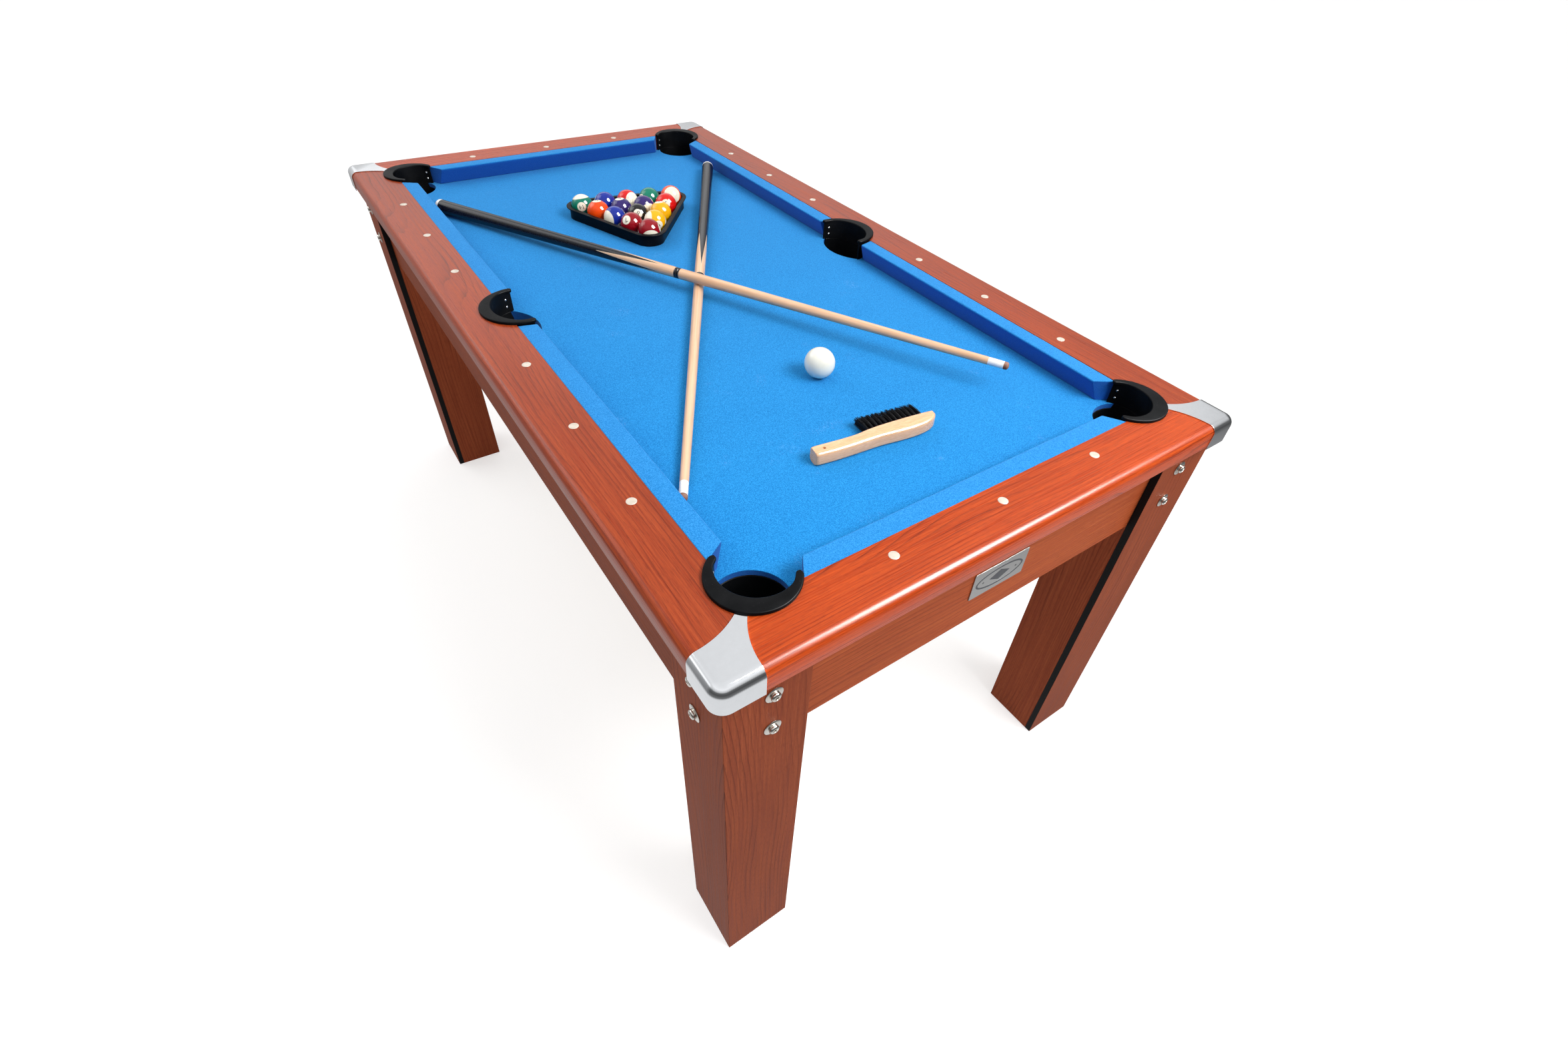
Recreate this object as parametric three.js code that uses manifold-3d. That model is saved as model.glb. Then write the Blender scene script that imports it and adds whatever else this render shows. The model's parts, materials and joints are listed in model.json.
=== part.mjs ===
// A mini pool table on four box legs, with its racked balls, cue ball, two cues and a table brush.
// Millimetres, +Z up. The origin is on the floor at the middle of the table, X runs across the
// width and Y along the length, with the nameplate on the -Y end.

import * as THREE from "three";
import { mergeVertices } from "three/addons/utils/BufferGeometryUtils.js";
import Module from "manifold-3d";

const wasm = await Module();
wasm.setup();

// ---- driving dimensions ----------------------------------------------------------------------

const GAP = 0.3; // clearance between pieces that touch
const TABLE = { width: 920, length: 1712, height: 809 }; // over the rails, to the rail tops

const RAIL = { width: 83.5, depth: 35.5, edgeRadius: 12, cornerRadius: 18 };
const CUSHION = { width: 31, noseDrop: 3, undercut: 11, cornerCut: 20, sideCut: 8 };
const CLOTH_THICKNESS = 1.2;
const BOARD_THICKNESS = 15;
const APRON = { thickness: 12.5, height: 151, inset: 26.5 }; // inset from the rail's outer face
const LEG = { size: 118, panel: 12.5, inset: 14, footPlate: 12 };
const BEAM = { width: 45, height: 70, offset: 300 };

// A pocket's own frame: its +X points out of the table, its origin is the centre of the throat.
const CORNER_POCKET = {
  setback: 12, // throat centre, inwards of the cushion noses' corner along X and along Y
  throat: { out: 49.5, across: 49.5 },
  mouth: { centre: 23, radius: 50 },
  flange: { centre: 15.3, radius: 57.5 },
  tipStart: -3,
};
const SIDE_POCKET = {
  setback: 4.5, // throat centre, inwards of the cushion nose line
  throat: { out: 55.5, across: 60.5 },
  mouth: { centre: 66, radius: 83 },
  flange: { centre: 9.5, radius: 66 },
  tipStart: 3,
};
const POCKET_WALL = 2.6;
const POCKET_SLOT = 0.6; // clearance round a pocket's wall in the rails and the bed
const FLANGE_THICKNESS = 4.5;
const CUP = { depth: 118, floor: 3 }; // below the cloth
const CORNER_CUSHION_START = 69; // cushion nose's end, from the corner where the nose lines meet
const SIDE_CUSHION_START = 72; // cushion nose's end, from the middle of the table

const CAP = { reach: 59, sheet: 1.2, skirt: 39, tongueReach: 80, tongueSide: 70, arcStart: 5 };
const PLATE = { width: 105, height: 50, thickness: 1.5 };

const BALL = { diameter: 47.6, pitch: 51.2 }; // racked loosely, so they stand apart
const CUE_BALL = { diameter: 50.8, place: [3, -394] };
const RACK_CENTRE = [24.7, 338.2];
const RACK_ANGLE = THREE.MathUtils.degToRad(-70.3); // direction of the row of five
const TRIANGLE = { wall: 3, lip: 6.5, lipThickness: 2.5, height: 25.5, slack: 2.7, easing: 2 };

const CUE = {
  length: 1290,
  buttRadius: 14.5,
  jointRadius: 10,
  tipRadius: 6.25,
  bumper: 10,
  jointAt: 645,
  ferrule: 34, // with its leather tip
};
const LOWER_CUE = { butt: [331, 549], tip: [-335.7, -555.5], crossingAt: 650 };
const UPPER_CUE = { butt: [-331.5, 574], tip: [240, -577], crossingAt: 684 };

const BRUSH = {
  butt: [-139, -574], // middle of the handle's end
  angle: THREE.MathUtils.degToRad(-8),
  length: 218,
  handleWidth: 23,
  bodyWidth: 32,
  bodyStart: 92,
  thickness: 22,
  edge: 5,
  bristles: { start: 98, end: 204, length: 34, thickness: 13 },
};

// ---- levels and places worked out from them --------------------------------------------------

const RAIL_TOP = TABLE.height;
const RAIL_BOTTOM = RAIL_TOP - RAIL.depth;
const CLOTH_TOP = RAIL_BOTTOM - GAP;
const BOARD_TOP = CLOTH_TOP - CLOTH_THICKNESS - GAP;
const BOARD_BOTTOM = BOARD_TOP - BOARD_THICKNESS;
const CUP_BOTTOM = CLOTH_TOP - CUP.depth;
const APRON_TOP = RAIL_BOTTOM - GAP;
const APRON_BOTTOM = APRON_TOP - APRON.height;

const HALF = { x: TABLE.width / 2, y: TABLE.length / 2 };
const WOOD_EDGE = { x: HALF.x - RAIL.width, y: HALF.y - RAIL.width }; // where rail meets cushion
const NOSE = { x: WOOD_EDGE.x - CUSHION.width, y: WOOD_EDGE.y - CUSHION.width };
const APRON_FACE = { x: HALF.x - APRON.inset - GAP, y: HALF.y - APRON.inset - GAP };
const BED_EDGE = {
  x: APRON_FACE.x - APRON.thickness - GAP,
  y: APRON_FACE.y - APRON.thickness - GAP,
};
const LEG_FACE = { x: HALF.x - LEG.inset, y: HALF.y - LEG.inset };
const SIDES = [
  { name: "left", sign: -1 },
  { name: "right", sign: 1 },
];
const ENDS = [
  { name: "near", sign: -1 },
  { name: "far", sign: 1 },
];

// ---- materials -------------------------------------------------------------------------------

const finish = (color, roughness, metalness = 0) =>
  new THREE.MeshStandardMaterial({ color, roughness, metalness });

const cherryFoil = () => finish(0xa8461f, 0.32);
const darkCherryFoil = () => finish(0x7a3522, 0.45);
const rawBoard = () => finish(0xb08d62, 0.8);
const blueCloth = () => finish(0x1f7fe0, 0.95);
const blackPlastic = () => finish(0x17181b, 0.5);
const chromePlate = () => finish(0xd8dadd, 0.12, 1);
const brushedPlate = () => finish(0xb9bcc0, 0.35, 1);
const maple = () => finish(0xe8bf8c, 0.3);
const blackLacquer = () => finish(0x121316, 0.2);
const whitePlastic = () => finish(0xf2f2f0, 0.35);
const blackBristle = () => finish(0x0c0c0d, 0.85);
const ballResin = (color) => finish(color, 0.12);

// ---- solids ----------------------------------------------------------------------------------

function solidOf(geometry) {
  const bare = geometry.index ? geometry.toNonIndexed() : geometry.clone();
  bare.deleteAttribute("normal");
  bare.deleteAttribute("uv");
  const merged = mergeVertices(bare, 1e-3);
  return new wasm.Manifold(
    new wasm.Mesh({
      numProp: 3,
      vertProperties: merged.attributes.position.array,
      triVerts: new Uint32Array(merged.index.array),
    }),
  );
}

function geometryOf(solid) {
  const mesh = solid.getMesh();
  const geometry = new THREE.BufferGeometry();
  geometry.setAttribute("position", new THREE.BufferAttribute(mesh.vertProperties, 3));
  geometry.setIndex(new THREE.BufferAttribute(mesh.triVerts, 1));
  const flat = geometry.toNonIndexed();
  flat.computeVertexNormals();
  return flat;
}

function shapeOf(points) {
  return new THREE.Shape(points.map(([x, y]) => new THREE.Vector2(x, y)));
}

// An outline standing from one level up to another.
function prism(shape, bottom, top, curveSegments = 8) {
  const options = { depth: top - bottom, bevelEnabled: false, curveSegments };
  return solidOf(new THREE.ExtrudeGeometry(shape, options).translate(0, 0, bottom));
}

function box(x0, x1, y0, y1, z0, z1) {
  const geometry = new THREE.BoxGeometry(x1 - x0, y1 - y0, z1 - z0);
  return solidOf(geometry.translate((x0 + x1) / 2, (y0 + y1) / 2, (z0 + z1) / 2));
}

function rectangle(halfX, halfY, radius) {
  const shape = new THREE.Shape();
  const [x, y] = [halfX - radius, halfY - radius];
  shape.absarc(x, y, radius, 0, Math.PI / 2);
  shape.absarc(-x, y, radius, Math.PI / 2, Math.PI);
  shape.absarc(-x, -y, radius, Math.PI, 1.5 * Math.PI);
  shape.absarc(x, -y, radius, 1.5 * Math.PI, 2 * Math.PI);
  return shape;
}

// A rounded slab of the table's plan whose top edge is rounded all the way round.
function roundedSlab(halfX, halfY, cornerRadius, edgeRadius, bottom, top) {
  const inner = rectangle(halfX - edgeRadius, halfY - edgeRadius, cornerRadius - edgeRadius);
  const rounded = new THREE.ExtrudeGeometry(inner, {
    depth: 2 * (top - bottom),
    bevelThickness: edgeRadius,
    bevelSize: edgeRadius,
    bevelSegments: 4,
    curveSegments: 5,
  });
  rounded.translate(0, 0, top - 2 * (top - bottom) - edgeRadius);
  const below = box(-halfX - 1, halfX + 1, -halfY - 1, halfY + 1, bottom - 2 * (top - bottom) - 30, bottom);
  return solidOf(rounded).subtract(below);
}

function mesh(name, material, solid) {
  const made = new THREE.Mesh(geometryOf(solid), material);
  made.name = name;
  return made;
}

// ---- pockets ---------------------------------------------------------------------------------

// The point where two cushion nose lines meet, and where a side pocket's throat is centred.
function pocketPlaces() {
  const places = [];
  for (const side of SIDES) {
    for (const end of ENDS) {
      const x = side.sign * (NOSE.x - CORNER_POCKET.setback);
      const y = end.sign * (NOSE.y - CORNER_POCKET.setback);
      const angle = Math.atan2(end.sign, side.sign);
      places.push({ name: `${end.name}_${side.name}`, kind: CORNER_POCKET, x, y, angle });
    }
    const x = side.sign * (NOSE.x - SIDE_POCKET.setback);
    const angle = side.sign > 0 ? 0 : Math.PI;
    places.push({ name: `middle_${side.name}`, kind: SIDE_POCKET, x, y: 0, angle });
  }
  return places;
}

function ellipse(centre, out, across) {
  const shape = new THREE.Shape();
  shape.absellipse(centre, 0, out, across, 0, 2 * Math.PI);
  return shape;
}

// The hole under a pocket: its throat, grown by some margin, as far as the mouth's arc.
function pocketHole(kind, margin, bottom, top) {
  const throat = ellipse(0, kind.throat.out + margin, kind.throat.across + margin);
  const mouth = ellipse(kind.mouth.centre, kind.mouth.radius + margin, kind.mouth.radius + margin);
  return prism(throat, bottom, top, 18).intersect(prism(mouth, bottom, top, 18));
}

// Everything on the outer side of the tips of a pocket's flange.
function behindTips(kind) {
  const far = 200;
  return box(kind.tipStart, far, -far, far, CUP_BOTTOM - far, RAIL_TOP + far);
}

function placed(solid, place) {
  const turn = new THREE.Matrix4().makeRotationZ(place.angle);
  turn.setPosition(place.x, place.y, 0);
  return solid.transform(turn.elements);
}

// The slot that the pocket's wall passes through in the rails.
function railSlot(place) {
  const margin = POCKET_WALL + POCKET_SLOT;
  const { out, across } = place.kind.throat;
  const slot = prism(ellipse(0, out + margin, across + margin), RAIL_BOTTOM - 1, RAIL_TOP + 1, 18);
  return placed(slot, place);
}

function bedHole(place) {
  const margin = POCKET_WALL + POCKET_SLOT;
  return placed(pocketHole(place.kind, margin, BOARD_BOTTOM - 1, CLOTH_TOP + 1), place);
}

// One moulding: a crescent flange on the rails, the wall under it and the cup that catches balls.
function pocketMoulding(place) {
  const { throat, flange } = place.kind;
  const flangeBottom = RAIL_TOP + GAP;
  const flangeTop = flangeBottom + FLANGE_THICKNESS;
  const cupTop = CLOTH_TOP - GAP;
  const overCloth = CLOTH_TOP + GAP;
  const throatCore = prism(ellipse(0, throat.out, throat.across), CUP_BOTTOM - 1, flangeTop + 1, 18);
  const wallShape = ellipse(0, throat.out + POCKET_WALL, throat.across + POCKET_WALL);
  const wallOverCloth = prism(wallShape, overCloth, flangeBottom + 1, 18);
  const wallThroughBed = prism(wallShape, cupTop - 1, overCloth + 1, 18).intersect(
    pocketHole(place.kind, POCKET_WALL, cupTop - 1, overCloth + 1),
  );
  const crescent = prism(ellipse(flange.centre, flange.radius, flange.radius), flangeBottom, flangeTop, 18);
  const upper = crescent.add(wallOverCloth).add(wallThroughBed);
  const opened = upper.subtract(throatCore).intersect(behindTips(place.kind));
  const cupOuter = pocketHole(place.kind, POCKET_WALL, CUP_BOTTOM, cupTop);
  const cupInner = pocketHole(place.kind, 0, CUP_BOTTOM + CUP.floor, flangeTop);
  return placed(opened.add(cupOuter.subtract(cupInner)), place);
}

// ---- bed -------------------------------------------------------------------------------------

function bed(places) {
  const holes = places.map(bedHole);
  const cut = (solid) => holes.reduce((left, hole) => left.subtract(hole), solid);
  const layer = (bottom, top) => box(-BED_EDGE.x, BED_EDGE.x, -BED_EDGE.y, BED_EDGE.y, bottom, top);
  return [
    mesh("bed_board", rawBoard(), cut(layer(BOARD_BOTTOM, BOARD_TOP))),
    mesh("bed_cloth", blueCloth(), cut(layer(BOARD_TOP + GAP, CLOTH_TOP))),
  ];
}

function crossBeams() {
  const top = BOARD_BOTTOM - GAP;
  return ENDS.map(({ name, sign }) => {
    const y = sign * BEAM.offset;
    const beam = box(-BED_EDGE.x, BED_EDGE.x, y - BEAM.width / 2, y + BEAM.width / 2, top - BEAM.height, top);
    return mesh(`cross_beam_${name}`, rawBoard(), beam);
  });
}

// ---- rails and cushions ----------------------------------------------------------------------

// The wedge of the plan that belongs to one side of a mitred frame.
function mitreWedge(side, sign) {
  const far = 60;
  const reach = RAIL.width + far;
  const [x, y] = [HALF.x + far, HALF.y + far];
  const points =
    side === "x"
      ? [[x, -y + GAP], [x, y - GAP], [x - reach, y - reach - GAP], [x - reach, -y + reach + GAP]]
      : [[x - GAP, y], [-x + GAP, y], [-x + reach + GAP, y - reach], [x - reach - GAP, y - reach]];
  const turned = points.map(([px, py]) => [px * sign, py * sign]);
  return prism(shapeOf(turned), RAIL_BOTTOM - 1, RAIL_TOP + 1);
}

function rails(places) {
  const slab = roundedSlab(HALF.x, HALF.y, RAIL.cornerRadius, RAIL.edgeRadius, RAIL_BOTTOM, RAIL_TOP);
  const middle = box(-WOOD_EDGE.x, WOOD_EDGE.x, -WOOD_EDGE.y, WOOD_EDGE.y, RAIL_BOTTOM - 1, RAIL_TOP + 1);
  const slots = places.map(railSlot);
  const frame = slots.reduce((left, slot) => left.subtract(slot), slab.subtract(middle));
  const along = SIDES.map(({ name, sign }) =>
    mesh(`rail_${name}`, cherryFoil(), frame.intersect(mitreWedge("x", sign))),
  );
  const across = ENDS.map(({ name, sign }) =>
    mesh(`rail_${name}`, cherryFoil(), frame.intersect(mitreWedge("y", sign))),
  );
  return [...along, ...across];
}

// A cushion along +Y in its own frame: its back is at x = 0, its nose points to -X, and start and
// end are where its nose begins and ends. Its ends are cut back towards the wood by their cuts.
function cushionSolid(start, end, startCut, endCut) {
  const bottom = CLOTH_TOP + GAP;
  const top = RAIL_TOP - GAP;
  const section = shapeOf([
    [-GAP, bottom],
    [-GAP, top],
    [-CUSHION.width + 1.5, top],
    [-CUSHION.width, top - CUSHION.noseDrop / 2],
    [-CUSHION.width, top - CUSHION.noseDrop],
    [-CUSHION.width + CUSHION.undercut, bottom],
  ]);
  const length = end - start + startCut + endCut;
  const bar = new THREE.ExtrudeGeometry(section, { depth: length, bevelEnabled: false });
  bar.rotateX(Math.PI / 2);
  bar.translate(0, end + endCut, 0);
  const plan = shapeOf([
    [0, start - startCut],
    [0, end + endCut],
    [-CUSHION.width, end],
    [-CUSHION.width, start],
  ]);
  return solidOf(bar).intersect(prism(plan, bottom - 1, top + 1));
}

function cushions() {
  const { cornerCut, sideCut } = CUSHION;
  const sideEnd = NOSE.y - CORNER_CUSHION_START;
  const endEnd = NOSE.x - CORNER_CUSHION_START;
  const made = [];
  for (const side of SIDES) {
    for (const end of ENDS) {
      const far = side.sign * end.sign > 0;
      const solid = far
        ? cushionSolid(SIDE_CUSHION_START, sideEnd, sideCut, cornerCut)
        : cushionSolid(-sideEnd, -SIDE_CUSHION_START, cornerCut, sideCut);
      const place = { x: side.sign * WOOD_EDGE.x, y: 0, angle: side.sign > 0 ? 0 : Math.PI };
      made.push(mesh(`cushion_${side.name}_${end.name}`, blueCloth(), placed(solid, place)));
    }
  }
  for (const end of ENDS) {
    const place = { x: 0, y: end.sign * WOOD_EDGE.y, angle: (end.sign * Math.PI) / 2 };
    const solid = cushionSolid(-endEnd, endEnd, cornerCut, cornerCut);
    made.push(mesh(`cushion_${end.name}`, blueCloth(), placed(solid, place)));
  }
  return made;
}

// ---- cabinet and legs ------------------------------------------------------------------------

function aprons() {
  const t = APRON.thickness;
  const along = SIDES.map(({ name, sign }) => {
    const [a, b] = [sign * (APRON_FACE.x - t), sign * APRON_FACE.x];
    const [low, high] = [Math.min(a, b), Math.max(a, b)];
    return mesh(
      `apron_${name}`,
      darkCherryFoil(),
      box(low, high, -APRON_FACE.y, APRON_FACE.y, APRON_BOTTOM, APRON_TOP),
    );
  });
  const halfWidth = APRON_FACE.x - t - GAP;
  const across = ENDS.map(({ name, sign }) => {
    const [a, b] = [sign * (APRON_FACE.y - t), sign * APRON_FACE.y];
    const [low, high] = [Math.min(a, b), Math.max(a, b)];
    return mesh(
      `apron_${name}`,
      darkCherryFoil(),
      box(-halfWidth, halfWidth, low, high, APRON_BOTTOM, APRON_TOP),
    );
  });
  return [...along, ...across];
}

// A leg in the +X +Y corner: two outer panels up to the rails, folded into a box below the aprons.
function legSolid() {
  const { size, panel, footPlate } = LEG;
  const [x1, y1] = [LEG_FACE.x, LEG_FACE.y];
  const [x0, y0] = [x1 - size, y1 - size];
  const boxTop = APRON_BOTTOM - GAP;
  const outerBox = box(x0, x1, y0, y1, 0, boxTop);
  const hollow = box(x0 + panel, x1 - panel, y0 + panel, y1 - panel, footPlate, boxTop + 1);
  const sidePanel = box(x1 - panel, x1, y0, y1, boxTop - 1, APRON_TOP);
  const endPanel = box(x0, x1, y1 - panel, y1, boxTop - 1, APRON_TOP);
  return outerBox.subtract(hollow).add(sidePanel).add(endPanel);
}

// A piece made for the +X +Y corner, mirrored into another corner.
function mirroredInto(solid, side, end) {
  const mirror = new THREE.Matrix4().makeScale(side.sign, end.sign, 1);
  return solid.transform(mirror.elements);
}

function atCorners(prefix, material, solid) {
  return ENDS.flatMap((end) =>
    SIDES.map((side) =>
      mesh(`${prefix}_${end.name}_${side.name}`, material(), mirroredInto(solid, side, end)),
    ),
  );
}

// The cap's plan in the +X +Y corner: its skirts' ends, hollow sides and a tongue to the pocket.
function capPlan() {
  const { reach, tongueReach, tongueSide, arcStart } = CAP;
  const rise = tongueSide - arcStart;
  const run = tongueReach - reach;
  const radius = (run * run + rise * rise) / (2 * run);
  const sweep = Math.asin(rise / radius);
  const beyond = 4;
  const shape = new THREE.Shape();
  const at = (p, q) => [HALF.x - p, HALF.y - q];
  shape.moveTo(...at(-beyond, -beyond));
  shape.lineTo(...at(-beyond, reach));
  const steps = 6;
  for (let i = 0; i <= steps; i += 1) {
    const turn = (sweep * i) / steps;
    shape.lineTo(...at(arcStart + radius * Math.sin(turn), reach + radius * (1 - Math.cos(turn))));
  }
  for (let i = steps; i >= 0; i -= 1) {
    const turn = (sweep * i) / steps;
    shape.lineTo(...at(reach + radius * (1 - Math.cos(turn)), arcStart + radius * Math.sin(turn)));
  }
  shape.lineTo(...at(reach, -beyond));
  return shape;
}

function capSolid() {
  const { sheet, skirt } = CAP;
  const grown = GAP + sheet;
  const bottom = RAIL_TOP - skirt;
  const outer = roundedSlab(
    HALF.x + grown,
    HALF.y + grown,
    RAIL.cornerRadius + grown,
    RAIL.edgeRadius + grown,
    bottom,
    RAIL_TOP + grown,
  );
  const inner = roundedSlab(
    HALF.x + GAP,
    HALF.y + GAP,
    RAIL.cornerRadius + GAP,
    RAIL.edgeRadius + GAP,
    bottom - 10,
    RAIL_TOP + GAP,
  );
  return outer.subtract(inner).intersect(prism(capPlan(), bottom - 1, RAIL_TOP + grown + 1));
}

function nameplate() {
  const back = -APRON_FACE.y - GAP;
  const middle = (RAIL_BOTTOM + APRON_BOTTOM) / 2;
  const plate = box(
    -PLATE.width / 2,
    PLATE.width / 2,
    back - PLATE.thickness,
    back,
    middle - PLATE.height / 2,
    middle + PLATE.height / 2,
  );
  return mesh("nameplate", brushedPlate(), plate);
}

// ---- balls and triangle ----------------------------------------------------------------------

const BALL_COLOURS = {
  yellow: 0xf4a800,
  blue: 0x1a3fb0,
  red: 0xd81e1e,
  purple: 0x3d2a78,
  orange: 0xf06a1a,
  green: 0x0f8a6a,
  maroon: 0x8e1230,
  black: 0x161616,
  ivory: 0xf1eedf,
};

// Balls by number, in rows from the row of five to the single ball at the apex.
const RACK_ROWS = [[14, 5, 10, 7, 15], [2, 4, 8, 9], [11, 12, 1], [6, 3], [13]];
const PLAIN_ORDER = ["yellow", "blue", "red", "purple", "orange", "green", "maroon", "black"];

function ballColour(number) {
  return BALL_COLOURS[PLAIN_ORDER[(number - 1) % 8]];
}

function ballMesh(name, color, diameter, x, y) {
  const radius = diameter / 2;
  const ball = new THREE.SphereGeometry(radius, 14, 9).rotateX(Math.PI / 2);
  ball.translate(x, y, CLOTH_TOP + GAP + radius);
  return mesh(name, ballResin(color), solidOf(ball));
}

function rackedBalls() {
  const along = new THREE.Vector2(Math.cos(RACK_ANGLE), Math.sin(RACK_ANGLE));
  const back = along.clone().rotateAround(new THREE.Vector2(), Math.PI / 3);
  const side = BALL.pitch * (RACK_ROWS.length - 1);
  const first = new THREE.Vector2(...RACK_CENTRE)
    .addScaledVector(along, -side / 3)
    .addScaledVector(back, -side / 3);
  return RACK_ROWS.flatMap((row, j) =>
    row.map((number, i) => {
      const spot = first.clone();
      spot.addScaledVector(along, i * BALL.pitch).addScaledVector(back, j * BALL.pitch);
      const name = `ball_${String(number).padStart(2, "0")}`;
      return ballMesh(name, ballColour(number), BALL.diameter, spot.x, spot.y);
    }),
  );
}

function cueBall() {
  return ballMesh("cue_ball", BALL_COLOURS.ivory, CUE_BALL.diameter, ...CUE_BALL.place);
}

// A triangle with round corners whose sides run at some distance outside the outer balls' centres.
// Its corners are eased: their centres lie a little inside the corner balls' own.
function triangleShape(sideOffset) {
  const side = BALL.pitch * (RACK_ROWS.length - 1);
  const reach = side / Math.sqrt(3) - 2 * TRIANGLE.easing;
  const cornerRadius = sideOffset + TRIANGLE.easing;
  const shape = new THREE.Shape();
  for (let i = 0; i < 3; i += 1) {
    const angle = (i * 2 * Math.PI) / 3;
    const [x, y] = [reach * Math.cos(angle), reach * Math.sin(angle)];
    shape.absarc(x, y, cornerRadius, angle - Math.PI / 3, angle + Math.PI / 3);
  }
  return shape;
}

function triangleRack() {
  const inner = BALL.diameter / 2 + TRIANGLE.slack;
  const outer = inner + TRIANGLE.wall;
  const bottom = CLOTH_TOP + GAP;
  const top = bottom + TRIANGLE.height;
  const wall = prism(triangleShape(outer), bottom, top);
  const lip = prism(triangleShape(outer + TRIANGLE.lip), top - TRIANGLE.lipThickness, top);
  const hollow = prism(triangleShape(inner), bottom - 1, top + 1);
  const solid = wall.add(lip).subtract(hollow);
  const [x, y] = RACK_CENTRE;
  // A corner of the shape points along +X, and the corner opposite the row of five is square to it.
  const place = { x, y, angle: RACK_ANGLE + Math.PI / 2 };
  return mesh("triangle_rack", blackPlastic(), placed(solid, place));
}

// ---- cues ------------------------------------------------------------------------------------

function cueRadiusAt(along) {
  const { buttRadius, jointRadius, tipRadius, jointAt, length } = CUE;
  return along < jointAt
    ? THREE.MathUtils.mapLinear(along, 0, jointAt, buttRadius, jointRadius)
    : THREE.MathUtils.mapLinear(along, jointAt, length, jointRadius, tipRadius);
}

function turned(from, to) {
  const profile = [
    [0, from],
    [cueRadiusAt(from), from],
    [cueRadiusAt(to), to],
    [0, to],
  ];
  const points = profile.map(([r, z]) => new THREE.Vector2(r, z));
  return new THREE.LatheGeometry(points, 16);
}

// A cue's pieces, laid in line from the middle of its butt end towards its tip.
function cue(name, butt, tip) {
  const group = new THREE.Group();
  const { length, bumper, jointAt, ferrule } = CUE;
  const pieces = [
    { part: "bumper", from: 0, to: bumper, material: whitePlastic() },
    { part: "butt", from: bumper + GAP, to: jointAt, material: blackLacquer() },
    { part: "shaft", from: jointAt + GAP, to: length - ferrule, material: maple() },
    { part: "ferrule", from: length - ferrule + GAP, to: length, material: whitePlastic() },
  ];
  for (const { part, from, to, material } of pieces) {
    group.add(mesh(`${name}_${part}`, material, solidOf(turned(from, to))));
  }
  const direction = tip.clone().sub(butt).normalize();
  group.quaternion.setFromUnitVectors(new THREE.Vector3(0, 1, 0), direction);
  group.position.copy(butt);
  return group;
}

// The lower cue lies on the cloth along its whole length.
function lowerCue() {
  const rest = CLOTH_TOP + GAP;
  const butt = new THREE.Vector3(...LOWER_CUE.butt, rest + CUE.buttRadius);
  const tip = new THREE.Vector3(...LOWER_CUE.tip, rest + CUE.tipRadius);
  return cue("lower_cue", butt, tip);
}

// The upper cue rests with its butt on the cloth, crosses over the lower one, and its tip floats.
function upperCue() {
  const rest = CLOTH_TOP + GAP;
  const lowerFall = ((CUE.buttRadius - CUE.tipRadius) * LOWER_CUE.crossingAt) / CUE.length;
  const lowerAxis = rest + CUE.buttRadius - lowerFall;
  const apart = cueRadiusAt(LOWER_CUE.crossingAt) + cueRadiusAt(UPPER_CUE.crossingAt) + 2 * GAP;
  const buttHeight = rest + CUE.buttRadius + GAP;
  const slope = (lowerAxis + apart - buttHeight) / UPPER_CUE.crossingAt;
  const butt = new THREE.Vector3(...UPPER_CUE.butt, buttHeight);
  const tip = new THREE.Vector3(...UPPER_CUE.tip, buttHeight + slope * CUE.length);
  return cue("upper_cue", butt, tip);
}

// ---- brush -----------------------------------------------------------------------------------

// The brush lies on its side: its outline is in plan, with the handle along +X from its butt.
function brushOutline(inset) {
  const { length, handleWidth, bodyWidth, bodyStart } = BRUSH;
  const low = -handleWidth / 2 + inset;
  const high = handleWidth / 2 - inset;
  const bodyHigh = low + bodyWidth - 2 * inset;
  const end = length - inset;
  const shape = new THREE.Shape();
  shape.moveTo(high, low);
  shape.bezierCurveTo(bodyStart * 0.6, low - 2, bodyStart, low + 5, bodyStart + 30, low + 4);
  shape.bezierCurveTo(bodyStart + 60, low + 3, end - 8, low, end, bodyHigh);
  shape.bezierCurveTo(end - 40, bodyHigh + 1, bodyStart + 30, bodyHigh, bodyStart, high + 4);
  shape.bezierCurveTo(bodyStart - 20, high - 1, bodyStart - 45, high, high, high);
  shape.absarc(high, 0, high, Math.PI / 2, 1.5 * Math.PI);
  return shape;
}

function brush() {
  const { butt, angle, thickness, edge, bristles, handleWidth, bodyWidth } = BRUSH;
  const rest = CLOTH_TOP + GAP;
  const body = new THREE.ExtrudeGeometry(brushOutline(edge), {
    depth: thickness - 2 * edge,
    bevelThickness: edge,
    bevelSize: edge,
    bevelSegments: 3,
    curveSegments: 6,
  });
  body.translate(0, 0, rest + edge);
  const backing = bodyWidth - handleWidth / 2 - 1;
  const middle = rest + thickness / 2;
  const tufts = box(
    bristles.start,
    bristles.end,
    backing + GAP,
    backing + bristles.length,
    middle - bristles.thickness / 2,
    middle + bristles.thickness / 2,
  );
  const trimmed = box(0, BRUSH.length, -handleWidth, backing, rest - 1, rest + thickness + 1);
  const [x, y] = butt;
  const place = { x, y, angle };
  return [
    mesh("brush_handle", maple(), placed(solidOf(body).intersect(trimmed), place)),
    mesh("brush_bristles", blackBristle(), placed(tufts, place)),
  ];
}

// ---- assembly --------------------------------------------------------------------------------

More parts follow.
